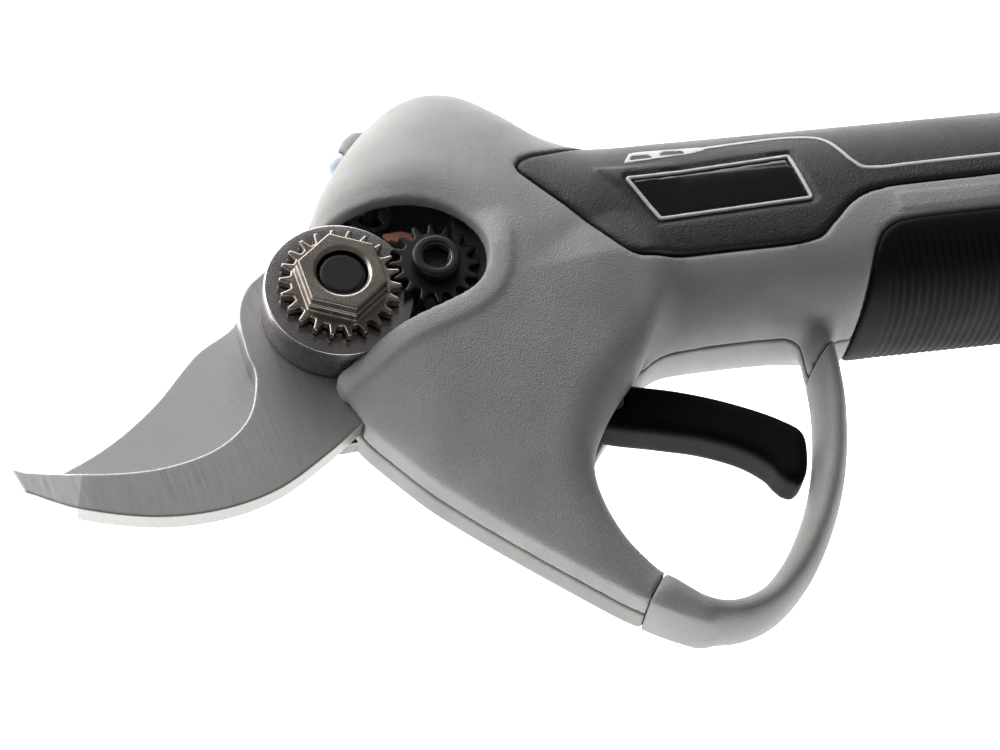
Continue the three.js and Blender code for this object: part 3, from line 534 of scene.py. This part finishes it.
grey_nylon = moulded_plastic("grey_nylon", linear(152, 153, 150), linear(130, 131, 128), 0.36, 0.22, 0.5)
black_cover = moulded_plastic("black_cover", linear(17, 16, 16), linear(11, 10, 10), 0.36, 0.2, 0.42, 0.6)
pale_inlay = moulded_plastic("pale_inlay", linear(206, 206, 204), linear(190, 190, 188), 0.4, 0.02, 0.45)
grip_rubber = moulded_plastic("grip_rubber", linear(15, 12, 11), linear(9, 8, 7), 0.35, 0.03, 0.6, 0.15)
badge_gloss = moulded_plastic("badge_gloss", linear(20, 18, 18), linear(14, 13, 13), 0.8, 0.004, 0.16)
trigger_black = moulded_plastic("trigger_black", linear(11, 9, 9), linear(7, 6, 6), 0.35, 0.02, 0.5, 0.1)
black_plastic = moulded_plastic("black_plastic", linear(46, 46, 47), linear(34, 34, 35), 0.4, 0.05, 0.55)
hook_steel = ground_steel("hook_steel", linear(168, 167, 165), linear(154, 153, 151), 0.42, 0.3, -80,
                          0.003, 0.8, TIP_PAINTED_HIGHLIGHT)
blade_steel = ground_steel("blade_steel", linear(210, 210, 213), linear(176, 176, 180), 0.36, 0.34, -50,
                           0.008, 0.6)
collar_steel = blasted_metal("collar_steel", linear(176, 172, 172), linear(150, 146, 147), 0.24, 0.3, 0.002)
nickel_steel = blasted_metal("nickel_steel", linear(160, 152, 144), linear(132, 124, 117), 0.3, 0.22, 0.012)
black_oxide = blasted_metal("black_oxide", linear(15, 15, 16), linear(9, 9, 10), 0.42, 0.3, 0.012, 0.2)
copper_leaf = blasted_metal("copper_leaf", linear(255, 190, 166), linear(244, 164, 142), 0.4, 0.4, 0.01, 0.2)
cast_alloy = blasted_metal("cast_alloy", linear(150, 146, 142), linear(110, 106, 102), 0.5, 0.35, 0.05)
gear_steel = blasted_metal("gear_steel", linear(130, 130, 132), linear(104, 104, 106), 0.4, 0.4, 0.01)
motor_steel = blasted_metal("motor_steel", linear(150, 150, 154), linear(126, 126, 130), 0.35, 0.5, 0.01)
screw_steel = blasted_metal("screw_steel", linear(140, 142, 146), linear(110, 112, 116), 0.36, 0.3, 0.01)
bronze = blasted_metal("bronze", linear(160, 128, 80), linear(130, 100, 60), 0.45, 0.3, 0.03)
brass = blasted_metal("brass", linear(184, 158, 90), linear(150, 126, 66), 0.35, 0.4, 0.01)
board_green = moulded_plastic("board_green", linear(40, 98, 66), linear(28, 76, 50), 0.6, 0.01, 0.35)
cell_wrap = moulded_plastic("cell_wrap", linear(60, 106, 150), linear(50, 92, 132), 0.8, 0.004, 0.3)
lens_clear = moulded_plastic("lens_clear", linear(226, 234, 248), linear(206, 218, 238), 0.8, 0.004, 0.12)

SLOT_MATERIALS = {
    "grey_nylon": grey_nylon, "black_cover": black_cover, "grip_rubber": grip_rubber,
    "badge_gloss": badge_gloss, "trigger_black": trigger_black, "black_plastic": black_plastic,
    "dark_steel": hook_steel, "blade_steel": blade_steel, "collar_steel": collar_steel,
    "nickel_steel": nickel_steel, "black_oxide": black_oxide, "copper_leaf": copper_leaf,
    "cast_alloy": cast_alloy, "gear_steel": gear_steel, "bearing_steel": motor_steel,
    "motor_steel": motor_steel, "screw_steel": screw_steel, "bronze": bronze, "brass": brass,
    "clear_lens": lens_clear, "board_green": board_green, "cell_wrap": cell_wrap,
}


def finish_cad_nodes():
    """Gives each CAD node that stays its slot's material."""
    slots = {entry["node"]: entry["material_slot"] for entry in frame["record"]["subparts"]}
    for name, node in frame["nodes"].items():
        node.data.materials.clear()
        node.data.materials.append(SLOT_MATERIALS[slots[name]])


# ---- Housing, cover and grip --------------------------------------------------------------------------
def shell_cuts(grid, shell):
    """Takes out what both shells share: the trigger's slot, the mouth and the collar's pocket."""
    slot = np.maximum(np.abs(grid.x - 49.5) - 13.5, np.abs(grid.y + 29.8) - 11.2)
    slot = np.maximum(slot, np.abs(grid.z) - 6)
    shell = blend_in(shell, -slot, 1.0)
    radius = np.hypot(grid.x, grid.y)
    mouth = np.maximum(radius - 20.2, np.abs(grid.z) - 5.3)
    collar = np.maximum(radius - COLLAR_RADIUS - 0.5, np.maximum(4 - grid.z, grid.z - 15.2))
    shell = np.maximum(shell, -mouth)
    return np.maximum(shell, -collar)


def blade_room(grid, outline, low, high, grow):
    """A flat pocket for a blade between two heights."""
    return np.maximum(grid.outline(outline) - grow, np.maximum(low - grid.z, grid.z - high))


def housing_shell(side):
    """One shell of the housing: side 1 has the window over the nut, side -1 has the screw posts."""
    step = 0.7
    z_range = (-1.4, 26) if side > 0 else (-26, 1.4)
    grid = Grid((-8, -83, z_range[0]), (198, 54, z_range[1]), step)
    skin = body_field(grid)
    shell = blend_in(skin, -(skin + WALL), 0.6)
    shell = grooved(shell, skin, grid.outline(cover_outline()))
    shell = grooved(shell, skin, grid.outline(grip_outline()))
    plate = grid.outline([(118, 1.7), (117.4, 5.4), (166, 6.2), (166, 2.3)])
    shell = blend_out(shell, np.maximum(plate, np.maximum(skin - 0.35, -(skin + 1))), 0.5)
    shell = shell_cuts(grid, shell)
    drain = np.sqrt((grid.x - DRAIN[0]) ** 2 + (grid.y - DRAIN[1]) ** 2 + (0.6 * grid.z) ** 2) - 1.7
    shell = blend_in(shell, -drain, 0.4)
    shell = blend_in(shell, -(guard_region(grid) - 0.1), 0.4)
    shell = np.maximum(shell, -blade_room(grid, counter_outline(), 0, 5.4, 0.4))
    shell = np.maximum(shell, -blade_room(grid, cutting_outline(), -4.9, 0, 0.6))
    if side < 0:
        sweep = np.maximum(np.hypot(grid.x, grid.y) - GEAR_SWEEP, np.maximum(-12.9 - grid.z, grid.z + 3.3))
        corner = np.maximum(np.maximum(-grid.x, grid.x - 30), np.maximum(grid.y, -30 - grid.y))
        shell = np.maximum(shell, -np.maximum(sweep, corner))
    if side > 0:
        window = grid.outline(smooth_line(WINDOW))
        lip = 5.2 * np.clip((grid.y - 1) / 9, 0, 1)
        brow = 0.42 * (window - lip) - 0.9 * (skin + 0.2)
        shell = blend_out(shell, np.maximum(np.maximum(window - 4, skin), -(skin + 6)), 2)
        shell = blend_in(shell, -brow, 1.5)
        shell = blend_in(shell, -np.maximum(window, 2 - grid.z), 0.5)
        shell = blend_in(shell, SPLIT - grid.z, 0.25)
    else:
        radius = np.hypot(grid.x, grid.y)
        shell = blend_in(shell, -np.maximum(radius - 21.4, grid.z + 2), 1.0)
        shell = blend_in(shell, grid.z + SPLIT, 0.25)
        for x, y in SCREWS:
            post = np.hypot(grid.x - x, grid.y - y)
            sleeve = np.maximum(np.maximum(post - SCREW_WELL - 1.3, skin), SCREW_WELL - post)
            shell = blend_out(np.maximum(shell, SCREW_WELL - post), np.maximum(sleeve, grid.z + 1), 0.6)
    name = "left" if side > 0 else "right"
    moulded(f"housing_{name}_fine", grid, shell, grey_nylon, "body", [f"housing_{name}"])


def cover_skin(grid):
    """The body surface with the badge's pad, whose front corner stands proud of the cover."""
    pad = grid.outline(BADGE_PAD)
    height = np.clip((74 - grid.x) / 16, 0, 1) * np.clip((grid.y - 8) / 7, 0, 1)
    return body_field(grid) - 1.1 * height * np.clip(0.5 - pad / 1.1, 0, 1)


def top_cover():
    grid = Grid((38, -6, -25), (COVER_END + 2, 40, 25), 0.6)
    skin = cover_skin(grid)
    region = np.maximum(grid.outline(cover_outline()), grid.x - COVER_END)
    cover = overmould(skin, region)
    badge_seat = np.maximum(grid.outline(BADGE) - 1.6, -(skin + 0.5))
    cover = blend_in(cover, -badge_seat, 0.5)
    button = np.hypot(grid.x - POWER_BUTTON_X, grid.z) - 5.0
    cover = blend_in(cover, -np.maximum(button, 15 - grid.y), 0.5)
    moulded("top_cover_fine", grid, cover, black_cover, "body", ["top_cover"])


def cover_inlays():
    """The pale line and vent marks along the cover, and the pale frame round each badge."""
    grid = Grid((60, 2, 12), (COVER_END, 30, 24), 0.3)
    skin = cover_skin(grid)
    line = smooth_line(DECOR_LINE, 5)
    slab = grid.outline(TRIM_SLAB)
    holes = np.minimum(grid.outline(TRIM_HOLES[0]), grid.outline(TRIM_HOLES[1]))
    marks = np.minimum(grid.path(line), blend_in(slab, -holes, 0.2) + 0.5)
    band = blend_in(marks - 0.5, np.maximum(skin - 0.12, -(skin + 0.8)), 0.3)
    frame_ring = np.abs(grid.outline(BADGE) - 0.4) - 0.4
    ring = blend_in(frame_ring, np.maximum(skin - 0.05, -(skin + 0.8)), 0.3)
    vertices, quads = surface_net(np.minimum(band, ring), grid)
    both = np.vstack([vertices, vertices * (1, 1, -1)])
    mirrored = quads[:, ::-1] + len(vertices)
    piece_from("cover_inlays", both, np.vstack([quads, mirrored]), pale_inlay, "body")


def badges():
    grid = Grid((60, 2, 14), (101, 20, 24), 0.4)
    skin = cover_skin(grid)
    plate = blend_in(grid.outline(BADGE) + 0.15, np.maximum(skin + 0.3, -(skin + 0.9)), 0.3)
    vertices, quads = surface_net(plate, grid)
    piece_from("badge_left_fine", vertices, quads, badge_gloss, "body", ["badge_left"])
    other = vertices * (1, 1, -1)
    piece_from("badge_right_fine", other, quads[:, ::-1], badge_gloss, "body", ["badge_right"])


def grip_sleeve():
    grid = Grid((104, -18.5, -23), (192, 2, 23), (0.34, 0.6, 0.6))
    skin = body_field(grid)
    ribs = 0.5 + 0.5 * np.cos(2 * math.pi * (grid.x + 0.06 * grid.y) / RIB_PITCH)
    fade = np.clip((-3 - grid.y) / 5, 0, 1) * np.clip((grid.x - 112) / 4, 0, 1)
    fade = fade * np.clip((186 - grid.x) / 3, 0, 1)
    cut = 0.6 * fade * (1 - ribs**0.4)
    sleeve = overmould(skin + cut, grid.outline(grip_outline()))
    moulded("grip_sleeve_fine", grid, sleeve, grip_rubber, "body", ["grip_sleeve"])


def trigger_guard():
    grid = Grid((44, -84, -12), (110, -10, 12), 0.55)
    guard = blend_in(body_field(grid), guard_region(grid), 0.4)
    moulded("trigger_guard_fine", grid, guard, grey_nylon, "body", ["trigger_guard"])


# ---- Blades -------------------------------------------------------------------------------------------
def counter_outline():
    edge = smooth_line([(-13, 11.6), (-17.2, 7.9), (-19.7, 1.8), (-19.5, -6.7), (-18.6, -13), (-21.5, -22),
                        (-28.9, -28.2), (-40, -31.2), (-52.2, -31.1), (-64.5, -29), (-69.5, -27.3)], 6)
    back = smooth_line([(-67.5, -32.9), (-56.8, -38.6), (-42.7, -42.1), (-29.5, -42), (-17.8, -38.8),
                        (-6.9, -32.1), (2, -25.5), (12, -20)], 6)
    return np.vstack([edge, back, [(27, -17), (27, 17), (14, 17), (4, 19), (-6, 16.6)]])


def cutting_outline():
    back = smooth_line([(-8, 17.8), (-16, 11), (-20.3, 2.5), (-29.1, -3.5), (-39.3, -14.3), (-50.8, -23),
                        (-66, -30.2)], 6)
    belly = smooth_line(BLADE_EDGE + [(-11, -28), (-2, -19.4)], 6)
    turns = np.radians(np.linspace(-84, 112, 24))
    eye = 19.4 * np.stack([np.cos(turns), np.sin(turns)], 1)
    return np.vstack([back, belly, eye])


def counter_blade():
    grid = Grid((-72, -45, -0.6), (30, 22, 6), (0.24, 0.24, 0.3))
    outline = grid.outline(counter_outline())
    top = HOOK_THICKNESS - np.clip((-55 - grid.x) / 15, 0, 1) * 1.1
    blade = blend_in(outline, np.maximum(grid.z - top, 0.15 - grid.z), 0.15)
    radius = np.hypot(grid.x, grid.y)
    blade = np.maximum(blade, PIVOT_EYE - radius)
    room = np.maximum(np.maximum(19.6 - grid.x, np.abs(grid.y - 1.8) - 8), grid.z - 10)
    blade = np.maximum(blade, -room)
    moulded("counter_blade_fine", grid, blade, hook_steel, "body", ["counter_blade"])


def cutting_blade():
    grid = Grid((-72, -42, -5.2), (22, 22, 0.6), (0.24, 0.24, 0.25))
    outline = grid.outline(cutting_outline())
    grind = 4.5 - 0.42 * np.maximum(8.5 - grid.path(smooth_line(BLADE_EDGE, 6)), 0)
    blade = blend_in(outline, np.maximum(grid.z + 0.15, -grind - grid.z), 0.15)
    blade = np.maximum(blade, PIVOT_EYE - np.hypot(grid.x, grid.y))
    moulded("cutting_blade_fine", grid, blade, blade_steel, "blade", ["cutting_blade"])


# ---- Pivot --------------------------------------------------------------------------------------------
def gear_distance(grid, teeth, module, turn, centre=(0, 0)):
    """Distance to a gear's outline with rounded tips and roots."""
    pitch = 2 * math.pi / teeth
    tip, root = module * (teeth / 2 + 0.9), module * (teeth / 2 - 1.2)
    points = []
    for i in range(teeth):
        for offset, radius in ((-0.33, root), (-0.25, root + 0.6 * module), (-0.11, tip), (0.11, tip),
                               (0.25, root + 0.6 * module), (0.33, root)):
            angle = turn + (i + offset) * pitch
            points.append((centre[0] + radius * math.cos(angle), centre[1] + radius * math.sin(angle)))
    return grid.outline(points)


def hex_distance(grid, flats, turn, centre=(0, 0)):
    angles = turn + np.arange(6) * math.pi / 3
    points = np.stack([centre[0] + flats / math.sqrt(3) * np.cos(angles),
                       centre[1] + flats / math.sqrt(3) * np.sin(angles)], 1)
    return grid.outline(points)


def pivot_nut():
    grid = Grid((-13.5, -13.5, 14.2), (13.5, 13.5, 22), 0.15)
    toward = math.atan2(LOCK_CENTRE[1], LOCK_CENTRE[0])
    radius = np.hypot(grid.x, grid.y)
    flange = blend_in(gear_distance(grid, 22, 1.05, toward), np.maximum(grid.z - 17.2, 14.8 - grid.z), 0.45)
    foot = hex_distance(grid, NUT_FLATS + 0.6, NUT_TURN)
    foot = blend_in(foot, np.maximum(grid.z - 19.2, 17 - grid.z), 0.3)
    hexagon = hex_distance(grid, NUT_FLATS, NUT_TURN)
    hexagon = blend_in(hexagon, np.maximum(grid.z - 21.4, 17 - grid.z), 0.3)
    nut = blend_out(np.minimum(foot, hexagon), flange, 0.5)
    mouth = 0.7 * (radius - 5.2) - 0.7 * (grid.z - 20.8)
    nut = blend_in(nut, -np.minimum(radius - 5.2 + 0 * grid.z, mouth), 0.2)
    moulded("pivot_nut_fine", grid, nut, nickel_steel, "body", ["pivot_nut"])


def pivot_bolt():
    grid = Grid((-10.5, -10.5, -21.6), (10.5, 10.5, 21), (0.3, 0.3, 0.3))
    radius = np.hypot(grid.x, grid.y)
    shaft = blend_in(radius - 4.85, np.maximum(grid.z - 20.4, -17.3 - grid.z), 0.9)
    head = blend_in(hex_distance(grid, 17, 0.2), np.maximum(grid.z + 17.3, -21 - grid.z), 0.4)
    head = blend_in(head, (radius - 8.8) * 0.5 - (grid.z + 20.6) * 0.87, 0.4)
    bolt = np.minimum(shaft, head)
    moulded("pivot_bolt_fine", grid, bolt, black_oxide, "body", ["pivot_bolt"])


def lathe(name, profile, material, replaces=(), centre=(0, 0)):
    """A closed turned ring on the tool's body, from a profile of (radius, z)."""
    sides = 160
    profile = np.asarray(profile, float)
    turns = np.linspace(0, 2 * math.pi, sides, endpoint=False)
    rings = [np.stack([centre[0] + profile[:, 0] * math.cos(a), centre[1] + profile[:, 0] * math.sin(a),
                       profile[:, 1]], 1) for a in turns]
    count = len(profile)
    faces = []
    for i in range(sides):
        j = (i + 1) % sides
        for k in range(count):
            m = (k + 1) % count
            faces.append((i * count + k, j * count + k, j * count + m, i * count + m))
    piece = piece_from(name, np.vstack(rings), faces, material, "body", replaces)
    edges = piece.modifiers.new("edges", "EDGE_SPLIT")
    edges.split_angle = math.radians(50)


def rounded_ring(outer, inner, bottom, top, corner):
    """Profile of a ring with rounded outer corners."""
    steps = 5
    profile = [(inner, bottom), (outer - corner, bottom)]
    for start, cr, cz in ((-90, outer - corner, bottom + corner), (0, outer - corner, top - corner)):
        for i in range(steps + 1):
            angle = math.radians(start + 90 * i / steps)
            profile.append((cr + corner * math.cos(angle), cz + corner * math.sin(angle)))
    profile += [(inner + corner, top), (inner, top - corner)]
    return profile


def pivot_collar():
    ring = rounded_ring(COLLAR_RADIUS, 5.2, 5.3, 14.5, 0.45)
    lathe("pivot_collar_fine", ring, collar_steel, ["pivot_collar"])


def lock_parts():
    x, y = LOCK_CENTRE
    grid = Grid((x - 10, y - 10, 14.2), (x + 10, y + 10, 18), 0.2)
    toward = math.atan2(y, x) + math.pi
    radius = np.hypot(grid.x - x, grid.y - y)
    wheel = gear_distance(grid, 16, 1.05, toward + math.pi / 16, LOCK_CENTRE)
    wheel = blend_in(wheel, np.maximum(grid.z - 17.2, 14.8 - grid.z), 0.3)
    wheel = np.maximum(wheel, 2.7 - radius)
    moulded("lock_pinion_fine", grid, wheel, black_oxide, "body", ["lock_pinion"])
    grid = Grid((x - 5.6, y - 5.6, 8.6), (x + 5.6, y + 5.6, 21), 0.2)
    radius = np.hypot(grid.x - x, grid.y - y)
    head = blend_in(radius - 5, np.maximum(grid.z - 20.3, 17.5 - grid.z), 0.9)
    shank = np.maximum(radius - 2.4, np.maximum(grid.z - 18, 9 - grid.z))
    socket = np.maximum(hex_distance(grid, 5, 0.3, LOCK_CENTRE), 17.8 - grid.z)
    mouth = np.maximum(radius - 3.1, 19.2 - grid.z)
    screw = blend_in(np.minimum(head, shank), -np.minimum(socket, mouth), 0.3)
    moulded("lock_screw_fine", grid, screw, black_oxide, "body", ["lock_screw"])
    # Painted highlight: a thin bright nickel ring in the socket's mouth stands for the glint on the black
    # screw's socket edge.
    painted_glint_ring = rounded_ring(3.16, 2.98, 19.3, 19.9, 0.05)
    lathe("lock_screw_painted_glint_ring", painted_glint_ring, nickel_steel, centre=LOCK_CENTRE)


# ---- Trigger ------------------------------------------------------------------------------------------
def trigger_outline():
    top = smooth_line([(50, -21.4), (58.6, -23.6), (66.3, -25.6), (74.6, -28.6), (83, -32.6), (88.2, -35.9),
                       (90.3, -37.9), (90.9, -40.2), (90.2, -44.8), (88.9, -48.2), (86.8, -49.9),
                       (84.6, -49.1)], 6)
    belly = smooth_line([(83.2, -47.2), (81.6, -44.6), (77.1, -41), (69.7, -37.6), (61.2, -35.2),
                         (50.1, -32.2), (43.4, -28)], 6)
    return np.vstack([top, belly, [(41.8, -25.6), (41.8, -22.4), (44, -20), (47, -19.6)]])


def trigger():
    grid = Grid((40, -55, -6), (95, -18, 6), 0.4)
    lever = blend_in(grid.outline(trigger_outline()), np.abs(grid.z) - 5, 2.6)
    pin_x, pin_y = TRIGGER_PIN
    lever = np.maximum(lever, 1.8 - np.hypot(grid.x - pin_x, grid.y - pin_y))
    magnet_seat = np.maximum(np.hypot(grid.x - 53, grid.y + 27) - 2.5, 1 - grid.z)
    lever = np.maximum(lever, -magnet_seat)
    moulded("trigger_fine", grid, lever, trigger_black, "trigger_lever", ["trigger"])


# ---- Battery ------------------------------------------------------------------------------------------
def rounded_box_distance(grid, half_y, half_z, corner):
    """Distance to a bar along X with a rounded rectangular section, centred on the handle."""
    dy = np.abs(grid.y - HANDLE_CENTRE) - (half_y - corner)
    dz = np.abs(grid.z) - (half_z - corner)
    outside = np.hypot(np.maximum(dy, 0), np.maximum(dz, 0))
    return outside + np.minimum(np.maximum(dy, dz), 0) - corner


def battery_pack():
    cap_front = BATTERY_END - 4
    grid = Grid((170, -27, -26), (268, 42, 26), 0.9)
    shell = rounded_box_distance(grid, 32, REST_HALF, 7)
    case = blend_in(shell + 0 * grid.x, np.maximum(BATTERY_FRONT - grid.x, grid.x - cap_front + 0.3), 2.4)
    for x, width in ((206, 0.8), (222, 1.3), (228, 1.3), (234, 1.3), (240, 1.3)):
        on_side = -1 if width < 1 else np.abs(grid.y - HANDLE_CENTRE) - 22
        groove = np.maximum(np.maximum(np.abs(grid.x - x) - width, on_side), -(shell + 0.9))
        case = blend_in(case, -groove, 1.2)
    spigot_y = np.abs(grid.y - HANDLE_CENTRE) - 12
    spigot = blend_in(np.maximum(spigot_y, np.abs(grid.z) - 13), np.maximum(172 - grid.x, grid.x - 198), 1.5)
    case = np.minimum(case, spigot)
    room = np.maximum(rounded_box_distance(grid, 29.5, 22, 5), BATTERY_FRONT + 2.5 - grid.x)
    case = np.maximum(case, -room)
    for z in (-6, 0, 6):
        slot = np.maximum(np.maximum(np.abs(grid.z - z) - 1, np.abs(grid.y - 7.5) - 6.5), grid.x - 188)
        case = np.maximum(case, -slot)
    moulded("battery_case_fine", grid, case, black_plastic, "battery", ["battery_case"])
    grid = Grid((cap_front - 2, -27, -26), (BATTERY_END + 1, 42, 26), 0.5)
    shell = rounded_box_distance(grid, 32, REST_HALF, 7)
    cap = blend_in(shell + 0 * grid.x, np.maximum(cap_front - grid.x, grid.x - BATTERY_END), 1.6)
    plug = np.maximum(cap_front - 1 - grid.x, grid.x - (BATTERY_END - 2))
    cap = np.minimum(cap, np.maximum(rounded_box_distance(grid, 29.2, 21.7, 5), plug))
    moulded("battery_end_cap_fine", grid, cap, black_plastic, "battery", ["battery_end_cap"])


def headlight():
    lamp_x, lamp_y = LAMP
    grid = Grid((0, 30, -7), (18, 49, 7), 0.35)
    seat = [(7, 35), (12.5, 33.5), (17, 42), (14.6, 45.6), (11.6, 45.6), (9.4, 44), (7.8, 41.4)]
    holder = blend_in(grid.outline(seat), np.abs(grid.z) - 3.4, 3.0)
    lens = np.sqrt((grid.x - lamp_x) ** 2 + (grid.y - lamp_y) ** 2 + grid.z**2)
    holder = blend_in(holder, 3.1 - lens, 0.5)
    moulded("led_holder_fine", grid, holder, grey_nylon, "body", ["led_holder"])
    moulded("led_lens_fine", grid, lens - 2.8, lens_clear, "body", ["led_lens"])


def build_pieces():
    housing_shell(1)
    housing_shell(-1)
    top_cover()
    cover_inlays()
    badges()
    grip_sleeve()
    trigger_guard()
    counter_blade()
    cutting_blade()
    pivot_nut()
    pivot_bolt()
    pivot_collar()
    lock_parts()
    trigger()
    headlight()
    battery_pack()


# ---- Camera, floor and light --------------------------------------------------------------------------
def camera():
    """A long lens that looks down on the nut side, from in front of the tool's underside.

    The tool's axes are written as (right, up, back) in the picture, and the camera's axes follow from them.
    """
    data = bpy.data.cameras.new("camera")
    data.lens = 135
    data.sensor_width = 36
    data.clip_end = 20
    eye = bpy.data.objects.new("camera", data)
    bpy.context.scene.collection.objects.link(eye)
    lean = math.sin(VIEW_LEAN)
    tool_z = Vector((lean * math.sin(VIEW_TURN), lean * math.cos(VIEW_TURN), math.cos(VIEW_LEAN)))
    rise = math.tan(HANDLE_RISE)
    tool_x = Vector((1, rise, -(tool_z.x + rise * tool_z.y) / tool_z.z)).normalized()
    picture = Matrix((tool_x, tool_z.cross(tool_x), tool_z))
    right, up, back = picture.transposed()
    shift_right, shift_up, height = VIEW_AIM
    aim = Vector((0, 0, height)) + right * shift_right + up * shift_up
    eye.matrix_world = picture.to_4x4()
    eye.location = PIVOT + (aim + back * VIEW_DISTANCE) * MM
    bpy.context.scene.camera = eye


def area_light(name, location, target, size, power):
    data = bpy.data.lights.new(name, "AREA")
    data.shape = "RECTANGLE"
    data.size, data.size_y = size
    data.energy = power
    lamp = bpy.data.objects.new(name, data)
    bpy.context.scene.collection.objects.link(lamp)
    lamp.location = location
    direction = Vector(target) - Vector(location)
    lamp.rotation_euler = direction.to_track_quat("-Z", "Y").to_euler()


def stage():
    half = 4.0
    mesh = bpy.data.meshes.new("floor")
    corners = [(-half, -half, 0), (half, -half, 0), (half, half, 0), (-half, half, 0)]
    mesh.from_pydata(corners, [], [(0, 1, 2, 3)])
    floor = bpy.data.objects.new("floor", mesh)
    bpy.context.scene.collection.objects.link(floor)
    n = Nodes("floor_white")
    tone = n.mix(n.noise(3), (0.9, 0.9, 0.9, 1), (0.93, 0.93, 0.93, 1))
    n.finish(tone, 0.9, Emission_Color=(1, 1, 1, 1), Emission_Strength=1.8)
    mesh.materials.append(n.material)
    world = bpy.data.worlds.new("studio")
    world.use_nodes = True
    world.node_tree.nodes["Background"].inputs["Color"].default_value = (1, 1, 1, 1)
    world.node_tree.nodes["Background"].inputs["Strength"].default_value = 0.16
    bpy.context.scene.world = world
    area_light("back_softbox", (-0.3, 1.15, 0.62), (0, 0, 0), (1.8, 0.7), 21)
    area_light("left_softbox", (-1.1, 0.7, 0.5), (-0.1, 0, 0.02), (0.6, 1.2), 10)
    area_light("front_strip", (0, -1.3, 0.2), (0, 0, 0.02), (2.2, 0.35), 1.0)
    bpy.context.scene.view_settings.view_transform = "Standard"


finish_cad_nodes()
build_pieces()
camera()
stage()
